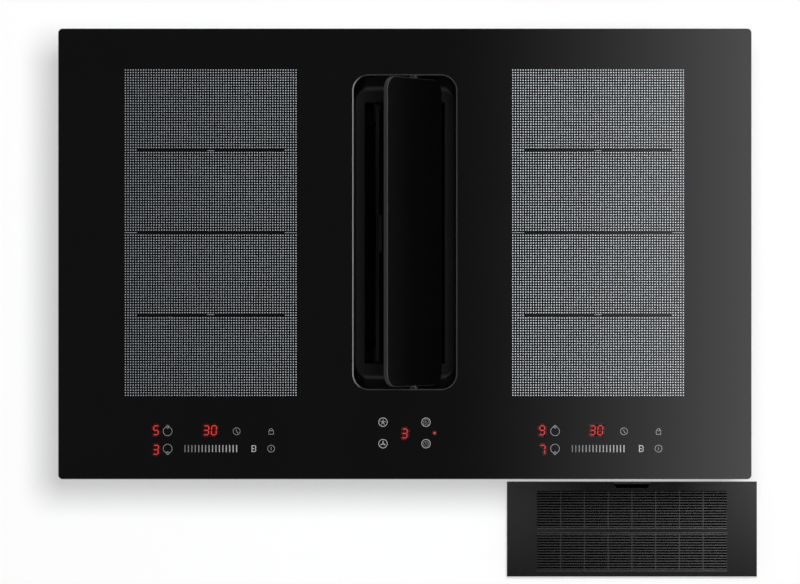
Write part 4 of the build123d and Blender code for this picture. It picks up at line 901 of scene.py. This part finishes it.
def finished(piece: Thing, name: str, finish: Finish, body: str) -> Thing:
    """Names a piece, gives it its finish and lets it ride on its body.

    Args:
        piece: The modelled piece.
        name: Its name.
        finish: Its finish.
        body: The body it moves with.

    Returns:
        The same piece.
    """
    apply_place(piece)
    piece.name = name
    piece.data.name = name
    dress(piece, finish)
    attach(piece, body)
    LOG.info("%s: %d faces on %s", name, len(piece.data.polygons), body)
    return piece


def dress(piece: Thing, finish: Finish) -> None:
    """Gives a piece its finish, in place of any other.

    Args:
        piece: The piece.
        finish: Its finish.
    """
    piece.data.materials.clear()
    piece.data.materials.append(finish.material())
    LOG.info("%s: %s", piece.name, finish.name)


# --- printed marks ---
class Stencil:
    """Flat marks that are drawn one by one, in millimetres, and then made into one thin printed piece."""

    def __init__(self, level: float, thickness: float = INK) -> None:
        """Starts an empty print on a surface.

        Args:
            level: Height of the surface, in metres.
            thickness: Thickness of the print, in millimetres.
        """
        self.level = level
        self.thickness = thickness
        self.marks: list[Thing] = []

    def at(self, middle: Pair) -> Axis:
        """A place on the surface, in metres."""
        return middle[0] * MM, middle[1] * MM, self.level

    def bar(self, middle: Pair, size: Pair, turn: float = 0.0, cut: float = 0.0) -> None:
        """Draws a bar.

        Args:
            middle: Its middle.
            size: Its length and width.
            turn: Its turn, in degrees from +X.
            cut: How much is cut off its corners.
        """
        mark = sheet(self.at(middle), (size[0] * MM, size[1] * MM), turn)
        if cut > 0.0:
            bevel(mark, cut, 1, affect="VERTICES")
        self.marks.append(mark)

    def stroke(self, start: Pair, end: Pair, width: float) -> None:
        """Draws a line from one point to another.

        Args:
            start: The one end.
            end: The other end.
            width: Width of the line.
        """
        run = Vector(end) - Vector(start)
        middle = (Vector(start) + Vector(end)) / 2
        self.bar(tuple(middle), (run.length, width), math.degrees(math.atan2(run.y, run.x)))

    def ring(self, middle: Pair, radius: float, width: float, kept: Pair = FULL_TURN) -> None:
        """Draws a ring, or the part of it between two angles.

        Args:
            middle: Its middle.
            radius: Its outer radius.
            width: Width of its line.
            kept: From and to angle of what is drawn, in degrees from +X.
        """
        place = self.at(middle)
        mark = polygon(place, radius * MM, RING_SIDES)
        select_by(mark, every_face)
        bpy.ops.mesh.inset(thickness=width * MM)
        bpy.ops.mesh.delete(type="FACE")
        bpy.ops.object.mode_set(mode="OBJECT")

        def outside(at: Vector, _normal: Vector) -> bool:
            """Whether a face lies in the part that isn't drawn."""
            angle = math.degrees(math.atan2(at.y - place[1], at.x - place[0])) % 360.0
            return not kept[0] <= angle <= kept[1]

        if kept != FULL_TURN:
            delete_faces(mark, outside)
        self.marks.append(mark)

    def disc(self, middle: Pair, radius: float, sides: int = 24) -> None:
        """Draws a full disc, or a polygon of few sides."""
        self.marks.append(polygon(self.at(middle), radius * MM, sides))

    def printed(self, name: str, finish: Finish) -> None:
        """Joins the marks, gives them their thickness and finishes the piece.

        Args:
            name: Name of the piece.
            finish: Its finish.
        """
        piece = join(self.marks)
        apply_modifier(piece, "SOLIDIFY", thickness=self.thickness * MM, offset=1.0)
        finished(piece, name, finish, "root")


@dataclass
class CookingArea:
    """One printed cooking area: rows of dots, left out along the lines where its zones meet."""

    side: str
    middle_x: float
    middle_y: float = 24.5
    width: float = 199.8
    length: float = 378.4
    columns: int = 67
    rows: int = 127
    dot_radius: float = 0.75
    zones: int = 4
    line_inset: float = 15.0
    dash_gap: float = 1.0
    tick: float = 8.0
    dash_width: float = 0.7

    def build(self, level: float) -> None:
        """Prints the dots on the glass.

        Args:
            level: Height of the glass face, in metres.
        """
        step_x = self.width / self.columns
        step_y = self.length / self.rows
        first_x = self.middle_x - (self.width - step_x) / 2
        first_y = self.middle_y - (self.length - step_y) / 2
        dots = drum((first_x * MM, first_y * MM, level), self.dot_radius * MM, INK * MM, 6)
        repeat(dots, (step_x * MM, 0.0, 0.0), self.columns)
        repeat(dots, (0.0, step_y * MM, 0.0), self.rows)
        self.leave_lines(dots, step_y)
        finished(dots, f"dot_field_{self.side}", PRINTED_ENAMEL, "root")

    def leave_lines(self, dots: Thing, step_y: float) -> None:
        """Takes out the dots along each line between two zones.

        Args:
            dots: The dots.
            step_y: Distance between two rows, in millimetres.
        """
        lines = []
        for line in range(1, self.zones):
            offset = (line / self.zones - 0.5) * self.length
            row = round(offset / step_y) * step_y
            lines.append((self.middle_y + row, offset == 0.0))

        def on_line(at: Vector, _normal: Vector) -> bool:
            """Whether a face belongs to a dot that a line leaves out.

            Args:
                at: Middle of the face.
                _normal: Its normal, which isn't asked.

            Returns:
                True if its dot is left out.
            """
            across = abs(at.x / MM - self.middle_x)
            for line_y, middle_line in lines:
                if abs(at.y / MM - line_y) < step_y / 2:
                    return middle_line or across < self.width / 2 - self.line_inset
            return False

        delete_faces(dots, on_line)

    def dashes(self, stencil: Stencil) -> None:
        """Draws the dashes at both ends of the middle line and at the middle of the other two.

        Args:
            stencil: The stencil to draw on.
        """
        for end in (-1, 1):
            middle = self.middle_x + end * (self.width - self.line_inset) / 2
            stencil.bar((middle, self.middle_y), (self.line_inset - self.dash_gap, self.dash_width))
            tick_y = self.middle_y + end * self.length / self.zones
            stencil.bar((self.middle_x, tick_y), (self.tick, self.dash_width))


class Segment(Enum):
    """The seven bars of a digit: place of the middle in half widths and half heights, and if it stands."""

    TOP = (0.0, 1.0, False)
    UPPER_RIGHT = (1.0, 0.5, True)
    LOWER_RIGHT = (1.0, -0.5, True)
    FOOT = (0.0, -1.0, False)
    LOWER_LEFT = (-1.0, -0.5, True)
    UPPER_LEFT = (-1.0, 0.5, True)
    MIDDLE = (0.0, 0.0, False)


UNLIT = {
    "0": {Segment.MIDDLE},
    "3": {Segment.UPPER_LEFT, Segment.LOWER_LEFT},
    "5": {Segment.UPPER_RIGHT, Segment.LOWER_LEFT},
    "7": {Segment.UPPER_LEFT, Segment.LOWER_LEFT, Segment.MIDDLE, Segment.FOOT},
    "9": {Segment.LOWER_LEFT},
}


@dataclass
class Displays:
    """The red digits that shine through the glass, each with a red halo and a faint glow round its bars."""

    digits: list[tuple[str, float, float]]
    lamp: Pair
    width: float = 6.2
    height: float = 11.0
    bar_width: float = 0.78
    bar_gap: float = 0.9
    corner_share: float = 0.4
    halo: float = 1.9
    glow: float = 4.6
    halo_rise: float = 0.025
    glow_rise: float = 0.01
    lean: float = 0.07
    lamp_radius: float = 1.15

    def build(self, level: float) -> None:
        """Makes the lit bars and, just under them, their halo and glow.

        Args:
            level: Height of the glass face, in metres.
        """
        for name, finish, rise, grow in (
            ("display_glow", LIT_GLOW, self.glow_rise, self.glow),
            ("display_halos", LIT_HALO, self.halo_rise, self.halo),
            ("display_digits", LIT_SEGMENT, INK, 0.0),
        ):
            stencil = Stencil(level, rise)
            for digit, x, y in self.digits:
                self.draw(stencil, digit, (x, y), grow)
            stencil.disc(self.lamp, self.lamp_radius + grow * self.corner_share)
            stencil.printed(name, finish)

    def draw(self, stencil: Stencil, digit: str, middle: Pair, grow: float) -> None:
        """Draws the lit bars of one digit.

        Args:
            stencil: The stencil to draw on.
            digit: The digit.
            middle: Its middle, in millimetres.
            grow: How much longer and wider each bar is, in millimetres.
        """
        half = ((self.width - self.bar_width) / 2, (self.height - self.bar_width) / 2)
        for segment in Segment:
            if segment in UNLIT[digit]:
                continue
            across, up, stands = segment.value
            length = (half[1] if stands else 2 * half[0]) - self.bar_gap
            y = up * half[1]
            x = across * half[0] + y * self.lean
            turn = 90.0 - math.degrees(math.atan(self.lean)) if stands else 0.0
            size = (length + grow, self.bar_width + grow)
            stencil.bar((middle[0] + x, middle[1] + y), size, turn, size[1] * self.corner_share)


@dataclass(frozen=True)
class Symbol:
    """A printed symbol: arcs by middle, radius and angles, and strokes from one point to another."""

    arcs: tuple[tuple[float, float, float, Pair], ...]
    strokes: tuple[tuple[float, float, float, float], ...]
    width: float = 0.6

    def draw(self, stencil: Stencil, x: float, y: float) -> None:
        """Draws the symbol round a place, in millimetres.

        Args:
            stencil: The stencil to draw on.
            x: Its middle in X, in millimetres.
            y: Its middle in Y, in millimetres.
        """
        for arc_x, arc_y, radius, kept in self.arcs:
            stencil.ring((x + arc_x, y + arc_y), radius, self.width, kept)
        for start_x, start_y, end_x, end_y in self.strokes:
            stencil.stroke((x + start_x, y + start_y), (x + end_x, y + end_y), self.width)


UPPER_ZONE, LOWER_ZONE = (
    Symbol(
        ((0.0, 0.0, 5.4, FULL_TURN),), (
            (-3.2, way * 4.2, 0.0, way * 7.2), (-1.9, way * 5.0, 0.0, way * 3.2),
            (3.2, way * 4.2, 0.0, way * 7.2), (1.9, way * 5.0, 0.0, way * 3.2),
        )
    )
    for way in (1, -1)
)
CLOCK = Symbol(((0.0, 0.0, 4.3, FULL_TURN),), ((-0.2, 2.2, -0.2, -0.2), (-0.3, 0.0, 1.7, -2.2)))
LOCK = Symbol(
    ((0.0, 1.0, 2.3, (0.0, 180.0)),),
    ((-2.7, -3.4, -2.7, 0.6), (2.7, -3.4, 2.7, 0.6), (-3.0, -3.4, 3.0, -3.4), (-3.0, 0.6, 3.0, 0.6)),
)
POWER = Symbol(((0.0, 0.0, 4.3, FULL_TURN),), ((0.0, -2.1, 0.0, 2.1),))
BOOST = Symbol(
    tuple((0.5, y, 2.3, kept) for y in (-1.6, 1.6) for kept in ((0.0, 90.0), (270.0, 360.0))),
    ((-2.1, -3.9, -2.1, 3.9), (-1.7, -3.4, 0.9, -3.4), (-1.7, 0.0, 0.9, 0.0), (-1.7, 3.4, 0.9, 3.4)),
    width=1.0,
)


@dataclass
class KeySymbols:
    """The printed symbols round the displays: zone keys, clock, lock, power, slider bars and fan keys."""

    group_step: float = 447.0
    fan_ring: float = 5.3
    upper_y: float = -204.7
    lower_y: float = -224.7
    zone_x: float = -273.7
    clock_x: float = -194.1
    lock_x: float = -154.3
    boost_x: float = -174.3
    slider_start: float = -253.7
    slider_bars: int = 16
    slider_pitch: float = 3.97
    slider_bar: Pair = (8.2, 1.15)
    slider_cut: float = 0.12
    fan_left_x: float = -25.2
    fan_right_x: float = 24.4
    fan_upper_y: float = -194.2
    fan_lower_y: float = -219.0
    fan_line: float = 0.8
    upper_blades: tuple[int, float] = (5, 0.65)
    lower_blades: tuple[int, float] = (3, 1.2)
    blade_middle: float = 1.9
    blade_length: float = 2.7
    blade_twist: float = 18.0
    blade_cut: float = 0.3
    hub: float = 0.8
    hub_sides: int = 12
    filter_line: float = 0.75
    filter_ring: float = 3.2
    filter_ring_line: float = 0.28
    hatch: Pair = (3.2, 0.3)
    hatch_offset: float = 0.8
    hatch_turn: float = -45.0

    def build(self, level: float) -> None:
        """Prints all symbols on the glass.

        Args:
            level: Height of the glass face, in metres.
        """
        keys, slider, fans = (Stencil(level) for _ in range(3))
        for shift in (0.0, self.group_step):
            UPPER_ZONE.draw(keys, self.zone_x + shift, self.upper_y)
            LOWER_ZONE.draw(keys, self.zone_x + shift, self.lower_y)
            CLOCK.draw(keys, self.clock_x + shift, self.upper_y)
            LOCK.draw(keys, self.lock_x + shift, self.upper_y)
            POWER.draw(keys, self.lock_x + shift, self.lower_y)
            BOOST.draw(slider, self.boost_x + shift, self.lower_y)
            for bar in range(self.slider_bars):
                x = self.slider_start + shift + bar * self.slider_pitch
                slider.bar((x, self.lower_y), self.slider_bar, 90.0, self.slider_cut)
        keys.printed("key_symbols", KEY_ENAMEL)
        slider.printed("slider_bars_and_boost", SLIDER_ENAMEL)
        self.fan(fans, (self.fan_left_x, self.fan_upper_y), *self.upper_blades)
        self.fan(fans, (self.fan_left_x, self.fan_lower_y), *self.lower_blades)
        self.filter_mark(fans, (self.fan_right_x, self.fan_upper_y), self.hatch_turn)
        self.filter_mark(fans, (self.fan_right_x, self.fan_lower_y), 0.0)
        fans.printed("fan_key_symbols", FAN_KEY_ENAMEL)

    def fan(self, stencil: Stencil, middle: Pair, blades: int, width: float) -> None:
        """Draws a ring round a fan wheel.

        Args:
            stencil: The stencil to draw on.
            middle: Its middle, in millimetres.
            blades: How many blades the wheel has.
            width: Width of a blade, in millimetres.
        """
        stencil.ring(middle, self.fan_ring, self.fan_line)
        for blade in range(blades):
            angle = math.radians(90.0 + 360.0 * blade / blades)
            centre = Vector(middle) + Vector((math.cos(angle), math.sin(angle))) * self.blade_middle
            turn = math.degrees(angle) - self.blade_twist
            stencil.bar(tuple(centre), (self.blade_length, width), turn, width * self.blade_cut)
        stencil.disc(middle, self.hub, self.hub_sides)

    def filter_mark(self, stencil: Stencil, middle: Pair, turn: float) -> None:
        """Draws two rings round a field of lines.

        Args:
            stencil: The stencil to draw on.
            middle: Its middle, in millimetres.
            turn: Turn of the lines, in degrees.
        """
        stencil.ring(middle, self.fan_ring, self.filter_line)
        stencil.ring(middle, self.filter_ring, self.filter_ring_line)
        way = math.radians(turn + 90.0)
        for line in (-self.hatch_offset, self.hatch_offset):
            centre = Vector(middle) + Vector((math.cos(way), math.sin(way))) * line
            stencil.bar(tuple(centre), self.hatch, turn)


# --- solid pieces ---
@dataclass
class CharcoalBed:
    """The pressed granules of one cassette, which show between the slats."""

    which: str
    voxel: float = 2.0
    lump: float = 3.2
    depth: float = 1.1

    def build(self) -> None:
        """Makes a slab of the bed's size whose faces are lumpy."""
        node = f"charcoal_bed_{self.which}"
        low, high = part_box(node)
        slab = block((low + high) / 2, high - low)
        slab.data.remesh_voxel_size = self.voxel * MM
        bpy.ops.object.voxel_remesh()
        lumps = bpy.data.textures.new(f"{node}_lumps", "VORONOI")
        lumps.noise_scale = self.lump * MM
        apply_modifier(
            slab, "DISPLACE", texture=lumps, texture_coords="LOCAL", strength=self.depth * MM, mid_level=1.0
        )
        finished(slab, f"{node}_granules", CHARCOAL, f"cassette_{self.which}")
        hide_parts(node)


@dataclass
class CassetteGrip:
    """A near-black edge on the front of a cassette's grip lip, under which the fingertips go: a painted shade
    for the shadow under the lip.
    """

    which: str
    up: Vector
    down: Vector
    run: float = 44.0
    lip: float = 2.6
    overhang: float = 1.2
    thickness: float = 1.2
    rounding: float = 0.4

    def build(self) -> None:
        """Sets the edge against the lip's front, level with its top."""
        low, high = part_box(f"cassette_frame_{self.which}")
        middle = (low + high) / 2
        top = Vector([high[axis] if self.up[axis] > 0 else middle[axis] for axis in range(3)])
        far = Vector([(low if self.down[axis] > 0 else high)[axis] for axis in range(3)])
        place = Vector([far[axis] if self.down[axis] else top[axis] for axis in range(3)])
        place += self.down * (self.lip + self.overhang / 2) * MM - self.up * self.thickness * MM / 2
        along = self.up.cross(self.down)
        size = along * self.run + self.down * self.overhang + self.up * self.thickness
        edge = block(place, Vector(map(abs, size)) * MM)
        bevel(edge, self.rounding, 3)
        finished(edge, f"cassette_{self.which}_grip", GRIP_SHADE_STRIP, f"cassette_{self.which}")


@dataclass
class Screws:
    """Plated screws in two columns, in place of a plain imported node: a head below, a pad or none on top."""

    node: str
    name: str
    rows: int
    radius: float
    shank_radius: float
    pitch: float
    head_height: float
    slots: tuple[Axis, ...]
    sides: int
    rounding: float
    segments: int
    pad_height: float = 0.0
    thread_share: float = 0.84

    def build(self) -> None:
        """Models one screw and sets it in every row of both columns."""
        low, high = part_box(self.node)
        inset = self.radius * MM
        foot = Vector((low.x + inset, low.y + inset, low.z))
        across = high.x - low.x - 2 * inset
        along = (high.y - low.y - 2 * inset) / (self.rows - 1)
        places = [(x, row * along, 0.0) for x in (0.0, across) for row in range(self.rows)]
        neck, under_pad = low.z + self.head_height * MM, high.z - self.pad_height * MM
        parts = [self.end(foot, self.head_height)]
        for slot in self.slots:
            carve(parts[0], block(foot, Vector(slot) * MM))
        if self.pad_height > 0.0:
            parts.append(self.end(Vector((foot.x, foot.y, under_pad)), self.pad_height))
        parts.append(self.shank(foot, neck, under_pad))
        screws = copies(join(parts), [Matrix.Translation(place) for place in places])
        finished(screws, self.name, ZINC_PLATED, "root")
        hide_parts(self.node)

    def end(self, foot: Vector, height: float) -> Thing:
        """Makes a head or pad, rounded below, and above too where the screw has both.

        Args:
            foot: The middle of its lower face, in metres.
            height: Its height, in millimetres.

        Returns:
            The head or pad.
        """
        end = drum(foot, self.radius * MM, height * MM, self.sides)
        highest = FACING if self.pad_height > 0.0 else math.inf
        bevel(end, self.rounding, self.segments, lambda _at, way: way.z < -FACING or way.z > highest)
        return end

    def shank(self, foot: Vector, low: float, high: float) -> Thing:
        """Makes the thread ridges, by extruding a disc in steps.

        Args:
            foot: A point on its axis, in metres.
            low: Height of its lower end, in metres.
            high: Height of its upper end, in metres.

        Returns:
            The shank.
        """
        rod = polygon((foot.x, foot.y, low), self.shank_radius * MM, 16)
        select_by(rod, every_face)
        count = max(2, int((high - low) / (self.pitch * MM / 2)))
        step = (high - low) / count
        for turn in range(count):
            bpy.ops.mesh.extrude_region_move(TRANSFORM_OT_translate={"value": (0.0, 0.0, step)})
            share = self.thread_share if turn % 2 == 0 else 1 / self.thread_share
            centre = (foot.x, foot.y, low + (turn + 1) * step)
            bpy.ops.transform.resize(value=(share, share, 1.0), center_override=centre)
        bpy.ops.mesh.select_all(action="SELECT")
        bpy.ops.mesh.normals_make_consistent(inside=False)
        bpy.ops.object.mode_set(mode="OBJECT")
        return rod


# Pan heads with a cross recess, which hold the lower box to the tray from below.
CASING_SCREWS = Screws(
    "casing_screws", "casing_screw_set", rows=3, radius=3.5, shank_radius=2.0, pitch=0.8, head_height=2.4,
    slots=((4.4, 0.9, 2.8), (0.9, 4.4, 2.8)), sides=32, rounding=0.9, segments=4,
)
# Threaded screws with a flat pad on top, which presses on the worktop, and a slotted head below.
CLAMP_SCREWS = Screws(
    "clamp_screws", "clamp_screw_set", rows=2, radius=4.5, shank_radius=2.5, pitch=1.0, head_height=3.0,
    slots=((13.5, 1.0, 3.0),), sides=28, rounding=0.35, segments=2, pad_height=1.5,
)


@dataclass
class GlandDetail:
    """Grip flutes round the cable gland's cap."""

    flutes: int = 14
    cap_radius: float = 9.0
    flute_length: float = 12.0
    flute_height: float = 0.7
    flute_width: float = 1.5
    mouth_gap: float = 3.5
    rounding: float = 0.3

    def build(self) -> None:
        """Models one flute and turns copies of it round the gland."""
        low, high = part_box("cable_gland")
        axis = (low + high) / 2
        back = high.y - (self.mouth_gap + self.flute_length / 2) * MM
        size = Vector((self.flute_width, self.flute_length, 2 * self.flute_height)) * MM
        flute = block(Vector((axis.x, back, axis.z + self.cap_radius * MM)), size)
        bevel(flute, self.rounding, 2)
        out, home = Matrix.Translation(axis), Matrix.Translation(-axis)
        turns = [Matrix.Rotation(math.tau * turn / self.flutes, 4, "Y") for turn in range(self.flutes)]
        flutes = copies(flute, [out @ turn @ home for turn in turns])
        finished(flutes, "gland_flutes", BLACK_PLASTIC, "root")


# --- the stage ---
@dataclass
class Stage:
    """Pale floor, soft light from the upper right, and what the black glass mirrors."""

    glass_top: float
    camera_x: float = -5.6
    camera_y: float = -44.0
    camera_distance: float = 3870.0
    view_width: float = 923.1
    sensor: float = 36.0
    key_power: float = 92.0
    key_size: float = 780.0
    key_place: Axis = (233.0, 255.0, 3300.0)
    room_level: float = 0.23
    zenith_level: float = 0.06
    zenith_rise: Pair = (0.7, 0.97)
    wall_level: float = 0.8
    right_wall_level: float = 0.08
    right_wall_start: Pair = (0.3, 0.85)
    floor_size: float = 30.0
    floor_colour: str = "#C5C5C5"
    floor_glow: Pair = (0.44, 0.86)
    floor_fade: Pair = (1.0, 5.0)
    card_height: float = 2200.0
    card_depth: float = 4000.0
    card_span: Pair = (60.0, 1150.0)
    card_level: float = 6.2
    card_bend: float = 1.9

    def build(self) -> None:
        """Sets up floor, lamp, the mirrored card, the room and the camera."""
        self.floor()
        self.key_lamp()
        self.card()
        self.room()
        self.camera()
        bpy.context.scene.view_settings.view_transform = "Standard"

    def floor(self) -> None:
        """A plain pale floor, white apart from the shadow, and as white far off where the lamp is weak."""
        material = bpy.data.materials.new("pale_floor")
        nodes = Shading(material)
        matt = nodes.add("BsdfDiffuse", {"Color": self.floor_colour})
        away = nodes.add("VectorMath", {0: nodes.where}, operation="LENGTH").outputs["Value"]
        glow = self.lit(nodes, nodes.spread(away, self.floor_fade, self.floor_glow))
        nodes.show(nodes.add("AddShader", {0: matt.outputs[0], 1: glow}))
        self.put(sheet((0.0, 0.0, 0.0), (self.floor_size, self.floor_size)), "floor", material)

    def lit(self, nodes: Shading, strength: Socket) -> Socket:
        """A white glow of that strength."""
        return nodes.add("Emission", {"Color": WHITE, "Strength": strength}).outputs[0]

    def put(self, thing: Thing, name: str, material: bpy.types.Material) -> None:
        """Names a sheet of the stage and gives it its material.

        Args:
            thing: The sheet.
            name: Its name.
            material: Its material.
        """
        thing.name = name
        thing.data.materials.append(material)

    def key_lamp(self) -> None:
        """A large soft lamp overhead, a little to the right and back."""
        lamp = bpy.data.lights.new("key", "AREA")
        lamp.shape = "DISK"
        lamp.size = self.key_size * MM
        lamp.energy = self.key_power
        key = bpy.data.objects.new("key", lamp)
        key.location = Vector(self.key_place) * MM
        key.rotation_euler = (-key.location).to_track_quat("-Z", "Y").to_euler()
        key.visible_glossy = False
        bpy.context.scene.collection.objects.link(key)

    def card(self) -> None:
        """A lit card on the right that only gloss sees: the glass grows paler to the right under it."""
        start, end = self.card_span
        material = bpy.data.materials.new("reflected_card")
        nodes = Shading(material)
        share = nodes.step(nodes.split(nodes.where)["X"], self.card_span)
        level = nodes.math("MULTIPLY", nodes.math("POWER", share, self.card_bend), self.card_level)
        clear = nodes.add("BsdfTransparent").outputs[0]
        seen = nodes.add("AddShader", {0: clear, 1: self.lit(nodes, level)}).outputs[0]
        by_gloss = nodes.add("LightPath").outputs["Is Glossy Ray"]
        nodes.show(nodes.add("MixShader", {0: by_gloss, 1: clear, 2: seen}))
        place = ((start + end) / 2 * MM, 0.0, self.card_height * MM)
        self.put(sheet(place, ((end - start) * MM, self.card_depth * MM)), "reflected_card", material)

    def room(self) -> None:
        """Even soft light all round. Gloss sees a dark ceiling over pale walls.

        The right wall is dark, because the open flap shows it.
        """
        world = bpy.data.worlds.new("studio")
        bpy.context.scene.world = world
        nodes = Shading(world)
        way = nodes.split(nodes.place["Generated"])
        rise = nodes.spread(way["Z"], self.zenith_rise, (self.wall_level, self.zenith_level))
        right = nodes.spread(way["X"], self.right_wall_start, (1.0, self.right_wall_level))
        lit, mirrored, seen = (
            nodes.add("Background", {"Color": WHITE, "Strength": strength}).outputs[0]
            for strength in (self.room_level, nodes.math("MULTIPLY", rise, right), 1.0)
        )
        path = nodes.add("LightPath").outputs
        gloss = nodes.add("MixShader", {0: path["Is Glossy Ray"], 1: lit, 2: mirrored}).outputs[0]
        nodes.show(nodes.add("MixShader", {0: path["Is Camera Ray"], 1: gloss, 2: seen}))

    def camera(self) -> None:
        """A long lens that looks straight down on the glass."""
        lens = bpy.data.cameras.new("camera")
        lens.sensor_width = self.sensor
        lens.lens = self.sensor * self.camera_distance / self.view_width
        lens.clip_end = 50.0
        camera = bpy.data.objects.new("camera", lens)
        height = self.glass_top + self.camera_distance * MM
        camera.location = (self.camera_x * MM, self.camera_y * MM, height)
        bpy.context.scene.collection.objects.link(camera)
        bpy.context.scene.camera = camera


# --- assembly ---
def painted_light_plastic(which: str, outward: Vector, across: Vector) -> PaintedLightPlastic:
    """The finish of one cassette frame.

    Args:
        which: The cassette's name.
        outward: The way its plate faces.
        across: The way its slats run.

    Returns:
        Its finish.
    """
    window_drop, lip_height = 2.0 * MM, 3.0 * MM
    low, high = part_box(f"cassette_frame_{which}")
    up = outward.cross(across)
    middle = (low + high) / 2 - window_drop * up
    middle += outward * (high.dot(outward) - lip_height - middle.dot(outward))
    return PaintedLightPlastic(
        f"painted_light_plastic_{which}", "#111111", "#0E0E0E", 0.4, patch=18.0, grain=0.5, specular=0.12,
        middle=tuple(middle), across=tuple(across), up=tuple(up), outward=tuple(outward),
    )


def node_finishes(glass_top: float, open_angle: float) -> dict[Finish, str]:
    """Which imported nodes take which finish.

    Args:
        glass_top: Height of the glass face, in metres.
        open_angle: How far the flap stands open at rest, in degrees.

    Returns:
        Node names by finish, with spaces between them.
    """
    tilt = math.radians(open_angle)
    flap_normal = (math.sin(tilt), 0.0, math.cos(tilt))
    return {
        painted_light_plastic("left", Vector((1, 0, 0)), Vector((0, 1, 0))): "cassette_frame_left",
        painted_light_plastic("loose", Vector((0, 0, 1)), Vector((1, 0, 0))): "cassette_frame_loose",
        GlassCeramic(
            "plate_glass_ceramic", "#080808", "#0B0B0C", 0.035, patch=90.0, grain=0.6, bevel="#2E2F30"
        ): "glass_plate",
        GlassCeramic(
            "flap_glass_ceramic", "#080808", "#0A0A0A", 0.25, patch=60.0, grain=0.6, polished=flap_normal,
            bevel="#444545", specular=0.35,
        ): "flap_glass",
        LippedEnamel(
            "lipped_enamel", "#060606", "#040404", 0.33, patch=25.0, grain=1.5, specular=0.4,
            lip_level=glass_top / MM - 0.6,
        ): "intake_collar",
        **NODE_FINISHES,
    }


def main() -> None:
    """Loads the frame, dresses it and builds each sub-assembly in order."""
    logging.basicConfig(level=logging.INFO, format="%(message)s")
    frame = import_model()
    glass_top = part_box("glass_plate")[1].z
    hinge = next(joint for joint in frame["joints"] if joint["name"] == "flap_hinge")
    for finish, names in node_finishes(glass_top, -hinge["range_deg"][0]).items():
        for name in names.split():
            dress(frame["nodes"][name], finish)

    dashes = Stencil(glass_top)
    for side, middle_x in (("left", -224.0), ("right", 223.0)):
        area = CookingArea(side, middle_x)
        area.build(glass_top)
        area.dashes(dashes)
    dashes.printed("zone_dashes", KEY_ENAMEL)
    digits = [
        ("5", -287.2, -203.6), ("3", -287.2, -226.0), ("3", -229.1, -203.6), ("0", -220.3, -203.6),
        ("9", 158.4, -203.6), ("7", 158.8, -226.0), ("3", 216.7, -203.6), ("0", 225.5, -203.6),
        ("3", -0.2, -207.2),
    ]
    Displays(digits, lamp=(34.3, -206.7)).build(glass_top)
    KeySymbols().build(glass_top)
    up, right, front, down = (Vector(way) for way in ((0, 0, 1), (1, 0, 0), (0, -1, 0), (0, 0, -1)))
    for piece in (
        CharcoalBed("left"), CharcoalBed("loose"), CassetteGrip("loose", up, front),
        CassetteGrip("left", right, down), CASING_SCREWS, CLAMP_SCREWS, GlandDetail(), Stage(glass_top),
    ):
        piece.build()


if __name__ == "__main__":
    main()
